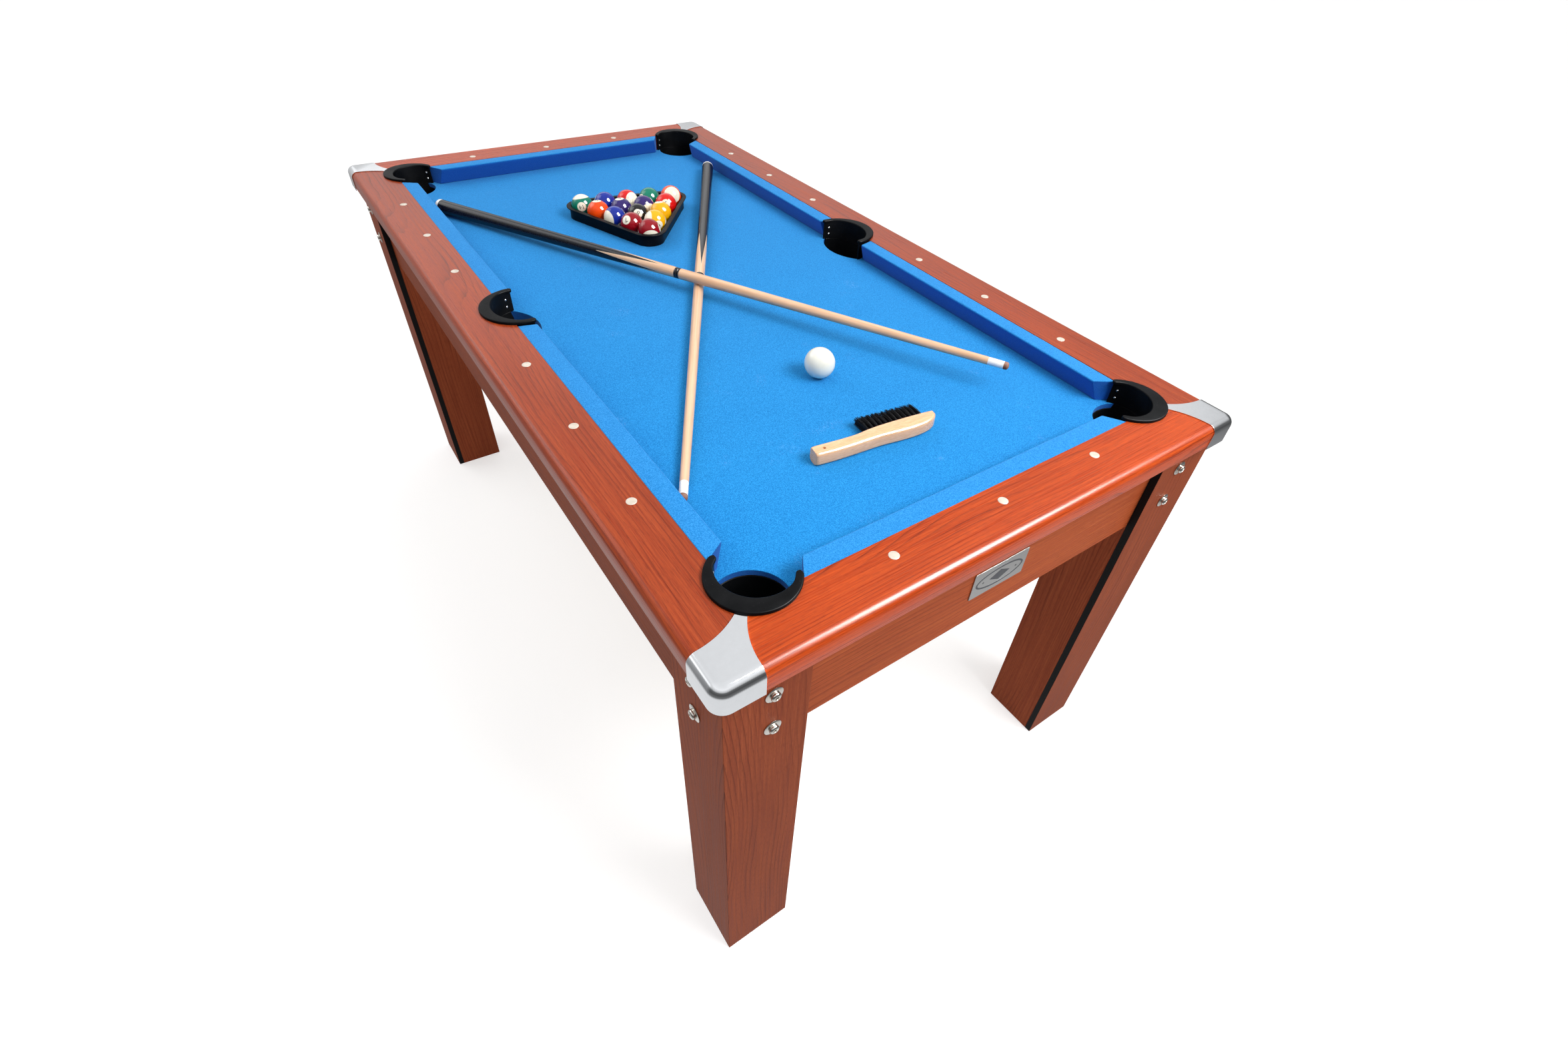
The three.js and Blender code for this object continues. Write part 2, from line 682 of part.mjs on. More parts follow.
const table = new THREE.Group();
const places = pocketPlaces();
table.add(
  ...bed(places),
  ...crossBeams(),
  ...rails(places),
  ...cushions(),
  ...places.map((place) => mesh(`pocket_${place.name}`, blackPlastic(), pocketMoulding(place))),
  ...aprons(),
  ...atCorners("leg", darkCherryFoil, legSolid()),
  ...atCorners("corner_cap", chromePlate, capSolid()),
  nameplate(),
  cueBall(),
  ...rackedBalls(),
  triangleRack(),
  lowerCue(),
  upperCue(),
  ...brush(),
);

export default table;
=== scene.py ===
import json
import math
import random

import bmesh
import bpy
from mathutils import Matrix, Vector


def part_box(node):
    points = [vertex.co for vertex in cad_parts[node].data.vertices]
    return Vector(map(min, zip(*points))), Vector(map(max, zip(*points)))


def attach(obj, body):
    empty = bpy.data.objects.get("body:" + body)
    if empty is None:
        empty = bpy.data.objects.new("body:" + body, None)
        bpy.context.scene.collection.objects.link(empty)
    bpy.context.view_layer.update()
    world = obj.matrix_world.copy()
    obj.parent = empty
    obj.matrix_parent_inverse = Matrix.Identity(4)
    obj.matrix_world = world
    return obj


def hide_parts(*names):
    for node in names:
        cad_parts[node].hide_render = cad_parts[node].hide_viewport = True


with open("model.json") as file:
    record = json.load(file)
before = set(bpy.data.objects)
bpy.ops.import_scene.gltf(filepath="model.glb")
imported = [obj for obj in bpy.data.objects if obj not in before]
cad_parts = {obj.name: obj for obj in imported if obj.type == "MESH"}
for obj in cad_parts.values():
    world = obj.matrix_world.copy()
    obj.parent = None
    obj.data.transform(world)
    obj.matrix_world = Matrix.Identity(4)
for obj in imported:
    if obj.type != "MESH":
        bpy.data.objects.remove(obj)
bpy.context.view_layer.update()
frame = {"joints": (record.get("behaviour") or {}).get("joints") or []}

MM = 0.001


# ---- sizes that the frame gives --------------------------------------------------------------


def low(node):
    return Vector(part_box(node)[0])


def high(node):
    return Vector(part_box(node)[1])


HALF = Vector((high("rail_right").x, high("rail_far").y, 0))
WOOD = Vector((low("rail_right").x, low("rail_far").y, 0))  # where rail meets cushion
NOSE = Vector((low("cushion_right_far").x, low("cushion_far").y, 0))
RAIL_TOP = high("rail_right").z
RAIL_BOTTOM = low("rail_right").z
CLOTH_TOP = high("bed_cloth").z
CLOTH_BOTTOM = low("bed_cloth").z
BED = high("bed_cloth")
FLANGE_TOP = high("pocket_far_right").z
CUP_BOTTOM = low("pocket_far_right").z
APRON_BOTTOM = low("apron_near").z
APRON_TOP = high("apron_near").z
LEG_LOW = low("leg_far_right")
LEG_HIGH = high("leg_far_right")
CAP_BOTTOM = low("corner_cap_far_right").z
CAP_TOP = high("corner_cap_far_right").z

GAP = 0.3 * MM
PANEL = 12.5 * MM
EDGE_RADIUS = 12 * MM
CORNER_RADIUS = 18 * MM
POCKET_WALL = 2.6 * MM
POCKET_SLOT = 0.6 * MM
WALL_AND_SLOT = POCKET_WALL + POCKET_SLOT

SIDES = {"left": -1, "right": 1}
ENDS = {"near": -1, "far": 1}


def corners():
    """The table's four corners: end, side, and the signs of their Y and X."""
    return [(end, side, sy, sx) for end, sy in ENDS.items() for side, sx in SIDES.items()]


# A pocket's own frame: +X points out of the table, and the origin is the throat's centre.
CORNER_POCKET = {
    "setback": 12 * MM,
    "throat": (49.5 * MM, 49.5 * MM),
    "mouth": (23 * MM, 50 * MM),
    "roll_depth": 9 * MM,
    "flange": (15.3 * MM, 57.5 * MM),
    "tip": -3 * MM,
}
SIDE_POCKET = {
    "setback": 4.5 * MM,
    "throat": (55.5 * MM, 60.5 * MM),
    "mouth": (66 * MM, 83 * MM),
    "roll_depth": 20 * MM,
    "flange": (9.5 * MM, 66 * MM),
    "tip": 3 * MM,
}


# ---- shells: closed surfaces as points and faces ---------------------------------------------


def loft(rings, loop=False, caps=True):
    """Rings of points joined one after another into a closed shell."""
    count = len(rings[0])
    points = [tuple(point) for ring in rings for point in ring]
    faces = []
    for i in range(len(rings) if loop else len(rings) - 1):
        here = i * count
        there = ((i + 1) % len(rings)) * count
        for j in range(count):
            after = (j + 1) % count
            faces.append((here + j, here + after, there + after, there + j))
    if caps and not loop:
        faces.append(tuple(reversed(range(count))))
        faces.append(tuple(range(len(points) - count, len(points))))
    return points, faces


def prism(outline, bottom, top):
    return loft([[(x, y, bottom) for x, y in outline], [(x, y, top) for x, y in outline]])


def box(lower, upper):
    (x0, y0, z0), (x1, y1, z1) = lower, upper
    return prism([(x0, y0), (x1, y0), (x1, y1), (x0, y1)], z0, z1)


def lathe(profile, base=(0, 0, 0), direction=(0, 0, 1), segments=32):
    """Rings of the given (radius, height) round an axis. A radius may depend on the angle."""
    turn = Vector((0, 0, 1)).rotation_difference(Vector(direction))
    base = Vector(base)
    rings = []
    for radius, height in profile:
        ring = []
        for i in range(segments):
            angle = 2 * math.pi * i / segments
            reach = radius(angle) if callable(radius) else radius
            spot = Vector((reach * math.cos(angle), reach * math.sin(angle), height))
            ring.append(base + turn @ spot)
        rings.append(ring)
    return loft(rings)


def polar(reach, turn, z=None):
    spot = (reach * math.cos(turn), reach * math.sin(turn))
    return spot if z is None else (*spot, z)


def turns(count):
    return [2 * math.pi * i / count for i in range(count)]


def band(turns, inner, outer, bottom, top):
    """A wall that follows two reaches, each a function of the turn, between two levels."""
    rings = []
    for turn in turns:
        near, far = inner(turn), outer(turn)
        section = ((near, bottom), (far, bottom), (far, top), (near, top))
        rings.append([polar(reach, turn, z) for reach, z in section])
    return loft(rings)


def in_mm(pairs):
    """Pairs in metres from pairs in millimetres."""
    return [(first * MM, second * MM) for first, second in pairs]


def moved(shell, matrix):
    points, faces = shell
    return [tuple(matrix @ Vector(point)) for point in points], faces


def quarter(centre, radius, start, steps=5):
    """Points of a quarter circle in a section, counter-clockwise from a start angle in degrees."""
    arc = []
    for i in range(steps + 1):
        angle = math.radians(start + 90 * i / steps)
        arc.append((centre[0] + radius * math.cos(angle), centre[1] + radius * math.sin(angle)))
    return arc


# ---- pieces ----------------------------------------------------------------------------------


def new_mesh(name, shell):
    """A mesh of a closed shell, with its faces turned outwards."""
    mesh = bpy.data.meshes.new(name)
    mesh.from_pydata(shell[0], [], shell[1])
    shape = bmesh.new()
    shape.from_mesh(mesh)
    bmesh.ops.recalc_face_normals(shape, faces=shape.faces)
    shape.to_mesh(mesh)
    shape.free()
    mesh.update()
    return mesh


def new_object(name, data):
    thing = bpy.data.objects.new(name, data)
    bpy.context.collection.objects.link(thing)
    return thing


def joined(shells):
    points = []
    faces = []
    for shell_points, shell_faces in shells:
        start = len(points)
        points.extend(shell_points)
        faces.extend(tuple(start + i for i in face) for face in shell_faces)
    return points, faces


def new_piece(name, shells, materials, body="table", slot=None, nodes=(), paint=None):
    """A piece made of closed shells. paint(centre, normal) picks the material of each face."""
    mesh = new_mesh(name, joined(shells))
    for material in materials if isinstance(materials, (list, tuple)) else [materials]:
        mesh.materials.append(material)
    if paint:
        for face in mesh.polygons:
            face.material_index = paint(face.center, face.normal)
    piece = new_object(name, mesh)
    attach(piece, body)
    if nodes:
        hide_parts(*nodes)
    return piece


def smooth(piece, degrees=35):
    mesh = piece.data
    mesh.polygons.foreach_set("use_smooth", [True] * len(mesh.polygons))
    mesh.set_sharp_from_angle(angle=math.radians(degrees))
    return piece


def soften(piece, width, segments=2, degrees=40, harden=True):
    bevel = piece.modifiers.new("soft_edges", "BEVEL")
    bevel.width = width
    bevel.segments = segments
    bevel.limit_method = "ANGLE"
    bevel.angle_limit = math.radians(degrees)
    bevel.harden_normals = harden
    return piece


def bevelled(piece, width, segments=2, degrees=40):
    return smooth(soften(piece, width, segments, degrees))


def real_mesh(thing):
    """A mesh of what an object shows, with its modifiers made real."""
    bpy.context.view_layer.update()
    graph = bpy.context.evaluated_depsgraph_get()
    return bpy.data.meshes.new_from_object(thing.evaluated_get(graph))


def cut(piece, shells, operation="DIFFERENCE"):
    """Cuts the piece with closed shells, or keeps only what is inside them, or adds them."""
    for number, shell in enumerate(shells):
        tool = new_object("tool", new_mesh(f"{piece.name}_tool_{number}", shell))
        change = piece.modifiers.new("cut", "BOOLEAN")
        change.operation = operation
        change.solver = "EXACT"
        change.object = tool
        before, piece.data = piece.data, real_mesh(piece)
        piece.modifiers.clear()
        for old in (before, tool.data):
            bpy.data.meshes.remove(old)


def sliced(shell, planes):
    """The part of a shell behind each plane, given by a point on it and its outward normal."""
    shape = bmesh.new()
    mesh = bpy.data.meshes.new("slice")
    mesh.from_pydata(shell[0], [], shell[1])
    shape.from_mesh(mesh)
    for point, normal in planes:
        everything = shape.verts[:] + shape.edges[:] + shape.faces[:]
        result = bmesh.ops.bisect_plane(
            shape, geom=everything, plane_co=point, plane_no=normal, clear_outer=True
        )
        rim = [item for item in result["geom_cut"] if isinstance(item, bmesh.types.BMEdge)]
        bmesh.ops.contextual_create(shape, geom=rim)
    shape.verts.index_update()
    points = [tuple(vert.co) for vert in shape.verts]
    faces = [tuple(vert.index for vert in face.verts) for face in shape.faces]
    shape.free()
    bpy.data.meshes.remove(mesh)
    return points, faces


def with_marks(piece, marks):
    """Keeps a vector with each point of the piece, for its material to read."""
    attribute = piece.data.attributes.new("mark", "FLOAT_VECTOR", "POINT")
    attribute.data.foreach_set("vector", [value for mark in marks for value in mark])
    return piece


# ---- node helpers ----------------------------------------------------------------------------


class Nodes:
    """Nodes of a material or a world: each method adds to them and returns an output."""

    def __init__(self, owner):
        owner.use_nodes = True
        self.tree = owner.node_tree

    def add(self, kind, inputs=(), output=0, **settings):
        node = self.tree.nodes.new(kind)
        for key, value in settings.items():
            setattr(node, key, value)
        for key, value in dict(inputs).items():
            self.feed(node.inputs[key], value)
        return node.outputs[output]

    def feed(self, socket, value):
        if isinstance(value, bpy.types.NodeSocket):
            self.tree.links.new(value, socket)
        elif socket.type == "RGBA" and len(value) == 3:
            socket.default_value = (*value, 1)
        else:
            socket.default_value = value

    def place(self, scale=1, source=None):
        """Where a point is, in metres in the frame, stretched evenly or along each axis."""
        where = source or self.add("ShaderNodeTexCoord", output="Object")
        scale = (scale,) * 3 if isinstance(scale, (int, float)) else scale
        return self.add("ShaderNodeMapping", {"Vector": where, "Scale": scale})

    def noise(self, scale, detail=3.0, roughness=0.5, distortion=0.0, source=None):
        """Noise whose scale is about the number of its waves in a metre."""
        inputs = {
            "Vector": self.place(scale, source),
            "Scale": 1.0,
            "Detail": detail,
            "Roughness": roughness,
            "Distortion": distortion,
        }
        return self.add("ShaderNodeTexNoise", inputs)

    def math(self, operation, first, second=0.0):
        return self.add("ShaderNodeMath", {0: first, 1: second}, operation=operation)

    def times(self, first, second):
        return self.math("MULTIPLY", first, second)

    def plus(self, first, second):
        return self.math("ADD", first, second)

    def spread(self, value, from_low, from_high, to_low=0.0, to_high=1.0):
        """Carries a value from one range to another, and stops at its ends."""
        inputs = {0: value, 1: from_low, 2: from_high, 3: to_low, 4: to_high}
        return self.add("ShaderNodeMapRange", inputs, clamp=True)

    def drifting(self, noise, low, high):
        """A value that drifts with a noise, whose own values lie mostly between 0.3 and 0.7."""
        return self.spread(noise, 0.3, 0.7, low, high)

    def mix(self, amount, first, second, blend="MIX"):
        inputs = {0: amount, 6: first, 7: second}
        return self.add("ShaderNodeMix", inputs, 2, data_type="RGBA", blend_type=blend)

    def apart(self, vector):
        node = self.tree.nodes.new("ShaderNodeSeparateXYZ")
        self.feed(node.inputs[0], vector)
        return node.outputs

    def mark(self):
        return self.add("ShaderNodeAttribute", output="Vector", attribute_name="mark")

    def ramp(self, value, levels):
        """Greys between (place, level) stops."""
        node = self.tree.nodes.new("ShaderNodeValToRGB")
        self.feed(node.inputs[0], value)
        stops = node.color_ramp.elements
        while len(stops) < len(levels):
            stops.new(0.5)
        for stop, (place, level) in zip(stops, levels):
            stop.position = place
            stop.color = (level, level, level, 1)
        return node.outputs[0]

    def bump(self, height, strength, distance):
        inputs = {"Height": height, "Strength": strength, "Distance": distance}
        return self.add("ShaderNodeBump", inputs)


class Finish(Nodes):
    """A material under construction. done() feeds its surface."""

    def __init__(self, name):
        self.material = bpy.data.materials.new(name)
        super().__init__(self.material)

    def done(self, **inputs):
        surface = self.tree.nodes["Principled BSDF"]
        for key, value in inputs.items():
            self.feed(surface.inputs[key.replace("_", " ")], value)
        return self.material


def tone(red, green, blue):
    """A colour as it looks on a screen, from 0 to 255, as the light it stands for."""
    return tuple(
        c / 12.92 if c <= 0.04045 else ((c + 0.055) / 1.055) ** 2.4
        for c in (red / 255, green / 255, blue / 255)
    )


# ---- materials -------------------------------------------------------------------------------


GRAIN_SPACING = 8.5 * MM


def foil(name, axis, plain, dark, pale, gloss, shine, lacquer):
    """Cherry-pattern foil on board: grain lines, pores and streaks along one axis of the frame."""
    f = Finish(name)

    def stretched(along, across):
        return [along if letter == axis else across for letter in "XYZ"]

    sides = zip("XYZ", f.apart(f.place()))
    first, second = [side for letter, side in sides if letter != axis]
    across = f.times(f.plus(first, second), 1 / GRAIN_SPACING)
    flow = f.times(f.noise(stretched(1.5, 8.0), 1.0, 0.3), 17.0)
    wobble = f.times(f.noise(stretched(14.0, 70.0), 2.0), 0.5)
    phase = f.plus(f.plus(across, flow), wobble)
    lines = f.math("POWER", f.math("FRACT", phase), 6.0)
    strength = f.spread(f.noise(stretched(3.0, 40.0), 2.0), 0.38, 0.62, 0.1, 0.75)
    pores = f.spread(f.noise(stretched(80.0, 1500.0), 2.0, 0.6), 0.5, 0.66)
    streaks = f.noise(stretched(6.0, 420.0), 3.0, 0.6)
    clouds = f.noise(stretched(2.0, 12.0), 2.0)
    base = f.mix(f.spread(streaks, 0.35, 0.65), plain, pale)
    base = f.mix(f.spread(clouds, 0.35, 0.7, 0.0, 0.2), base, dark)
    lined = f.mix(f.times(lines, strength), base, dark)
    colour = f.mix(f.times(pores, 0.32), lined, dark)
    relief = f.math("SUBTRACT", streaks, f.times(pores, 0.7))
    return f.done(
        Base_Color=colour,
        Roughness=f.drifting(streaks, gloss - 0.05, gloss + 0.08),
        IOR=shine,
        Coat_Weight=lacquer,
        Coat_Roughness=0.27,
        Normal=f.bump(relief, 0.35, 0.00015),
    )


# Tones of a foil: plain, dark and pale, then its gloss, its shine and its lacquer.
END_RAILS = (tone(164, 55, 12), tone(76, 20, 4), tone(190, 73, 16), 0.28, 1.18, 0.22)
# The side rails' tones are the end rails' made a little darker and browner: painted shade on the same foil.
SIDE_RAILS_PAINTED_DARKER = (tone(142, 51, 18), tone(74, 23, 8), tone(164, 67, 26), 0.32, 1.22, 0.2)
# The end aprons' tones are lighter than the other boards': painted light on the same foil.
END_APRONS_PAINTED_LIGHTER = (tone(148, 66, 34), tone(86, 32, 16), tone(166, 84, 46), 0.48, 1.12, 0.0)
OTHER_BOARDS = (tone(124, 56, 32), tone(74, 28, 15), tone(140, 70, 42), 0.5, 1.12, 0.0)


def rail_foil(axis):
    """The side rails' foil is a little darker and browner than the end rails': painted shade, for the light
    that falls on them less.
    """
    return foil(f"rail_foil_{axis}", axis, *(SIDE_RAILS_PAINTED_DARKER if axis == "Y" else END_RAILS))


def cabinet_foil(axis):
    """The end aprons' foil is a little brighter than the side aprons' and the legs': painted light, for the
    light that falls on them more.
    """
    return foil(f"cabinet_foil_{axis}", axis, *(END_APRONS_PAINTED_LIGHTER if axis == "X" else OTHER_BOARDS))


def clouded(name, pattern, plain, shaded, bump, spread=None, **surface):
    """A finish whose colour drifts between two tones with one noise, which also shapes it."""
    f = Finish(name)
    clouds = f.noise(*pattern)
    amount = f.spread(clouds, *spread) if spread else clouds
    rough = surface.pop("Roughness")
    if isinstance(rough, tuple):
        rough = f.drifting(clouds, *rough)
    colour = f.mix(amount, plain, shaded)
    return f.done(Base_Color=colour, Roughness=rough, Normal=f.bump(clouds, *bump), **surface)


def raw_board():
    f = Finish("raw_board")
    chips = f.noise(260, 5.0, 0.7)
    dust = f.noise(2200, 2.0)
    colour = f.mix(f.spread(chips, 0.35, 0.65), tone(150, 116, 78), tone(196, 164, 120))
    colour = f.mix(f.spread(dust, 0.5, 0.8, 0.0, 0.4), colour, tone(96, 70, 46))
    return f.done(Base_Color=colour, Roughness=0.85, Normal=f.bump(chips, 0.4, 0.0003))


def black_edge():
    tones = (tone(10, 9, 10), tone(22, 21, 22))
    pattern = ((900, 900, 60), 3.0)
    surface = {"Roughness": 0.5, "Specular_IOR_Level": 0.1}
    return clouded("black_edge_band", pattern, *tones, (0.2, 0.0001), **surface)


def blue_cloth(name, plain, lifted, chalked=False):
    """Napped wool cloth: a mottled pile, short stray fibres, and painted shade that darkens it where it
    hangs upright.
    """
    f = Finish(name)
    upright = f.apart(f.add("ShaderNodeNewGeometry", output="Normal"))[2]
    pile = f.noise(1300, 3.0, 0.65)
    clumps = f.noise(760, 2.0, 0.6)
    fibres = f.noise((2600, 500, 900), 2.0, 0.5, 1.5)
    brushed = f.noise((3, 9, 9), 2.0)
    shade = f.plus(f.times(pile, 0.4), f.times(clumps, 0.6))
    colour = f.mix(f.spread(shade, 0.4, 0.6), plain, lifted)
    colour = f.mix(f.spread(fibres, 0.68, 0.8, 0.0, 0.3), colour, tone(120, 175, 240))
    colour = f.mix(f.spread(brushed, 0.35, 0.7, 0.0, 0.12), colour, lifted)
    if chalked:
        colour = f.mix(chalk_marks(f), colour, tone(150, 190, 240))
    # Painted shade: the colour turns deep blue where a face turns from facing up to upright, as on the
    # cushions' faces and round the pockets.
    colour = f.mix(f.spread(upright, 0.0, 0.8, 0.72, 0.0), colour, tone(0, 48, 146))
    height = f.plus(pile, f.times(clumps, 0.6))
    return f.done(
        Base_Color=colour,
        Roughness=0.95,
        Specular_IOR_Level=0.03,
        Sheen_Weight=0.3,
        Sheen_Roughness=0.5,
        Sheen_Tint=tone(150, 200, 255),
        Normal=f.bump(height, 0.35, 0.0004),
    )


def chalk_marks(f):
    """Faint marks of chalk rubbed into the cloth in a few places."""
    rubbed = f.spread(f.noise(16, 2.0), 0.66, 0.8)
    scratchy = f.spread(f.noise((500, 120, 300), 3.0), 0.5, 0.8)
    return f.times(f.times(rubbed, scratchy), 0.35)


def moulded_plastic(name, colour, pale, roughness, relief=0.3):
    """Moulded plastic with a fine sandy texture and a few pale specks of dust."""
    f = Finish(name)
    sand = f.noise(1400, 3.0, 0.6)
    dust = f.spread(f.noise(900, 1.0), 0.74, 0.8)
    rubbed = f.noise(30, 3.0)
    shade = f.mix(f.spread(rubbed, 0.3, 0.7), colour, pale)
    shade = f.mix(f.times(dust, 0.25), shade, tone(120, 120, 122))
    return f.done(
        Base_Color=shade,
        Roughness=f.drifting(rubbed, roughness - 0.05, roughness + 0.08),
        Specular_IOR_Level=0.06,
        Normal=f.bump(sand, relief, 0.00015),
    )


def plated(name, colour, roughness, brushed=(60, 60, 60), marks=0.06):
    """Metal with faint rubbing marks that catch the light."""
    f = Finish(name)
    rubbed = f.noise(brushed, 4.0, 0.65)
    wavy = f.noise(35, 1.0)
    low_gloss = f.spread(rubbed, 0.35, 0.75, roughness, roughness + marks)
    tint = f.mix(f.spread(rubbed, 0.3, 0.8, 0.0, 0.3), colour, [c * 0.85 for c in colour])
    height = f.plus(wavy, f.times(rubbed, 0.05))
    return f.done(
        Base_Color=tint,
        Metallic=1.0,
        Roughness=low_gloss,
        Normal=f.bump(height, 0.12, 0.0004),
    )


def smooth_plastic(name, colour, shaded, roughness=0.3):
    surface = {"Roughness": (roughness - 0.06, roughness + 0.08), "Coat_Weight": 0.3, "Coat_Roughness": 0.1}
    return clouded(name, (120, 3.0), colour, shaded, (0.08, 0.0002), (0.3, 0.7), **surface)


def wood_of_maple(name, plain, dark, gloss=0.28):
    """Lacquered maple whose grain runs along the piece; marks hold the piece's own directions."""
    f = Finish(name)
    grain = f.noise((5, 5, 9), 4.0, 0.55, 0.6, source=f.mark())
    fine = f.noise((40, 40, 25), 3.0, 0.6, source=f.mark())
    rings = f.math("SINE", f.times(grain, 42.0))
    colour = f.mix(f.spread(rings, -1.0, 1.0, 0.0, 0.35), plain, dark)
    colour = f.mix(f.spread(fine, 0.45, 0.75, 0.0, 0.3), colour, dark)
    return f.done(
        Base_Color=colour,
        Roughness=f.drifting(fine, gloss - 0.04, gloss + 0.08),
        Coat_Weight=0.5,
        Coat_Roughness=0.08,
        Normal=f.bump(fine, 0.1, 0.0001),
    )


# Along a cue, in metres from its butt.
CUE_POINTS = {"start": 0.450, "end": 0.608, "number": 4}
COLLAR = {"start": 0.6375, "end": 0.649, "rib": 0.0038}


def cue_maple(f, mark):
    grain = f.noise((130, 130, 6), 4.0, 0.6, source=mark)
    rings = f.math("SINE", f.times(f.noise((55, 55, 2.2), 2.0, source=mark), 38.0))
    maple = f.mix(f.spread(rings, -1.0, 1.0, 0.0, 0.3), tone(228, 186, 152), tone(202, 152, 114))
    return f.mix(f.spread(grain, 0.45, 0.8, 0.0, 0.45), maple, tone(184, 132, 84)), grain


def cue_points(f, mark, along, black, maple):
    """Long points of maple that run back into the black butt, with a thin pale edge."""
    x, y, _ = f.apart(mark)
    share = f.times(f.math("ARCTAN2", y, x), CUE_POINTS["number"] / (2 * math.pi))
    from_point = f.times(f.math("PINGPONG", share, 0.5), 2.0)
    progress = f.spread(along, CUE_POINTS["start"], CUE_POINTS["end"], 0.0, 1.02)
    bare = f.math("GREATER_THAN", progress, from_point)
    edge = f.math("LESS_THAN", f.math("ABSOLUTE", f.math("SUBTRACT", progress, from_point)), 0.05)
    edge = f.times(edge, f.math("GREATER_THAN", progress, 0.01))
    return f.mix(f.times(edge, 0.45), f.mix(bare, black, maple), tone(222, 206, 178))


def cue_wood():
    """A cue from butt to shaft: black lacquer with long points, a ribbed collar, then maple."""
    f = Finish("cue_wood")
    mark = f.mark()
    along = f.apart(mark)[2]
    maple, grain = cue_maple(f, mark)
    specks = f.noise((600, 600, 200), 2.0, source=mark)
    black = f.mix(f.spread(specks, 0.4, 0.8), tone(14, 15, 20), tone(34, 36, 44))
    body = cue_points(f, mark, along, black, maple)
    after_start = f.math("GREATER_THAN", along, COLLAR["start"])
    before_end = f.math("LESS_THAN", along, COLLAR["end"])
    ribs = f.math("SINE", f.times(along, 2 * math.pi / COLLAR["rib"]))
    ring = f.mix(f.spread(ribs, 0.75, 0.95), tone(10, 10, 12), tone(84, 84, 88))
    return f.done(
        Base_Color=f.mix(f.times(after_start, before_end), body, ring),
        Roughness=f.drifting(grain, 0.16, 0.26),
        IOR=1.33,
        Normal=f.bump(grain, 0.06, 0.0001),
    )


def leather():
    tones = (tone(142, 84, 52), tone(92, 50, 32))
    return clouded("tip_leather", (1800, 3.0, 0.7), *tones, (0.5, 0.0003), (0.3, 0.7), Roughness=0.8)


def bristle():
    tones = (tone(8, 8, 10), tone(30, 30, 34))
    surface = {"Roughness": 0.55, "Specular_IOR_Level": 0.2}
    return clouded("bristle", (1600, 2.0), *tones, (0.3, 0.0001), **surface)


def ball_resin(name, colour, striped):
    """Polished resin. In the ball's own frame its number faces +X and a stripe's axis is Z."""
    f = Finish(name)
    x, _, z = f.apart(f.mark())
    ivory = tone(240, 234, 216)
    swirl = f.noise((2, 2, 2), 3.0, 0.6, 0.8, source=f.mark())
    tinted = f.mix(f.spread(swirl, 0.3, 0.7, 0.0, 0.25), colour, [c * 0.7 for c in colour])
    pale = f.mix(f.spread(swirl, 0.3, 0.7, 0.0, 0.3), ivory, tone(226, 216, 190))
    body = tinted
    if striped:
        body = f.mix(f.spread(f.math("ABSOLUTE", z), 0.65, 0.665), tinted, pale)
    spot = f.spread(f.math("ABSOLUTE", x), 0.912, 0.918)
    body = f.mix(spot, body, pale)
    return f.done(
        Base_Color=body,
        Roughness=f.drifting(swirl, 0.06, 0.12),
        IOR=1.3,
        Coat_Weight=0.4,
        Coat_Roughness=0.03,
        Normal=f.bump(swirl, 0.03, 0.0003),
    )


def plain_resin(name, colour, shaded):
    surface = {"Roughness": (0.1, 0.2), "Coat_Weight": 0.4, "Coat_Roughness": 0.04}
    return clouded(name, (40, 3.0, 0.6), colour, shaded, (0.03, 0.0003), (0.3, 0.7, 0.0, 0.5), **surface)


# ---- rails -----------------------------------------------------------------------------------


def rounded_rectangle(half_x, half_y, radius, steps=9):
    outline = []
    for start, (sign_x, sign_y) in enumerate(((1, 1), (-1, 1), (-1, -1), (1, -1))):
        for i in range(steps + 1):
            angle = math.pi / 2 * (start + i / steps)
            x = sign_x * (half_x - radius) + radius * math.cos(angle)
            y = sign_y * (half_y - radius) + radius * math.sin(angle)
            outline.append((x, y))
    return outline


def table_slab(grow, bottom, eased=0.0, steps=9):
    """A slab of the whole table's plan with its top edge rounded, grown by a margin."""
    radius = EDGE_RADIUS + grow
    top = RAIL_TOP + grow

    def ring(inset, z):
        half_x = HALF.x + grow - inset
        half_y = HALF.y + grow - inset
        corner = max(CORNER_RADIUS + grow - inset, 1 * MM)
        return [(x, y, z) for x, y in rounded_rectangle(half_x, half_y, corner)]

    rings = [ring(eased, bottom), ring(0.3 * eased, bottom + 0.3 * eased)] if eased else []
    rings.append(ring(0, bottom + eased))
    for i in range(steps + 1):
        angle = math.pi / 2 * i / steps
        rings.append(ring(radius * (1 - math.cos(angle)), top - radius + radius * math.sin(angle)))
    return loft(rings)


def mitre_planes(axis, sign):
    """The planes that bound one rail: its back against the cushion and its two mitres."""
    joint = 0.15 * MM
    inner = Vector((0, 0, 0))
    inner[axis] = sign
    planes = [(inner * WOOD[axis], -inner)]
    for end in (-1, 1):
        corner = Vector((0, 0, 0))
        corner[axis] = sign * HALF[axis]
        corner[1 - axis] = end * HALF[1 - axis]
        normal = Vector((0, 0, 0))
        normal[axis] = -sign
        normal[1 - axis] = end
        normal.normalize()
        planes.append((corner - joint * normal, normal))
    return planes


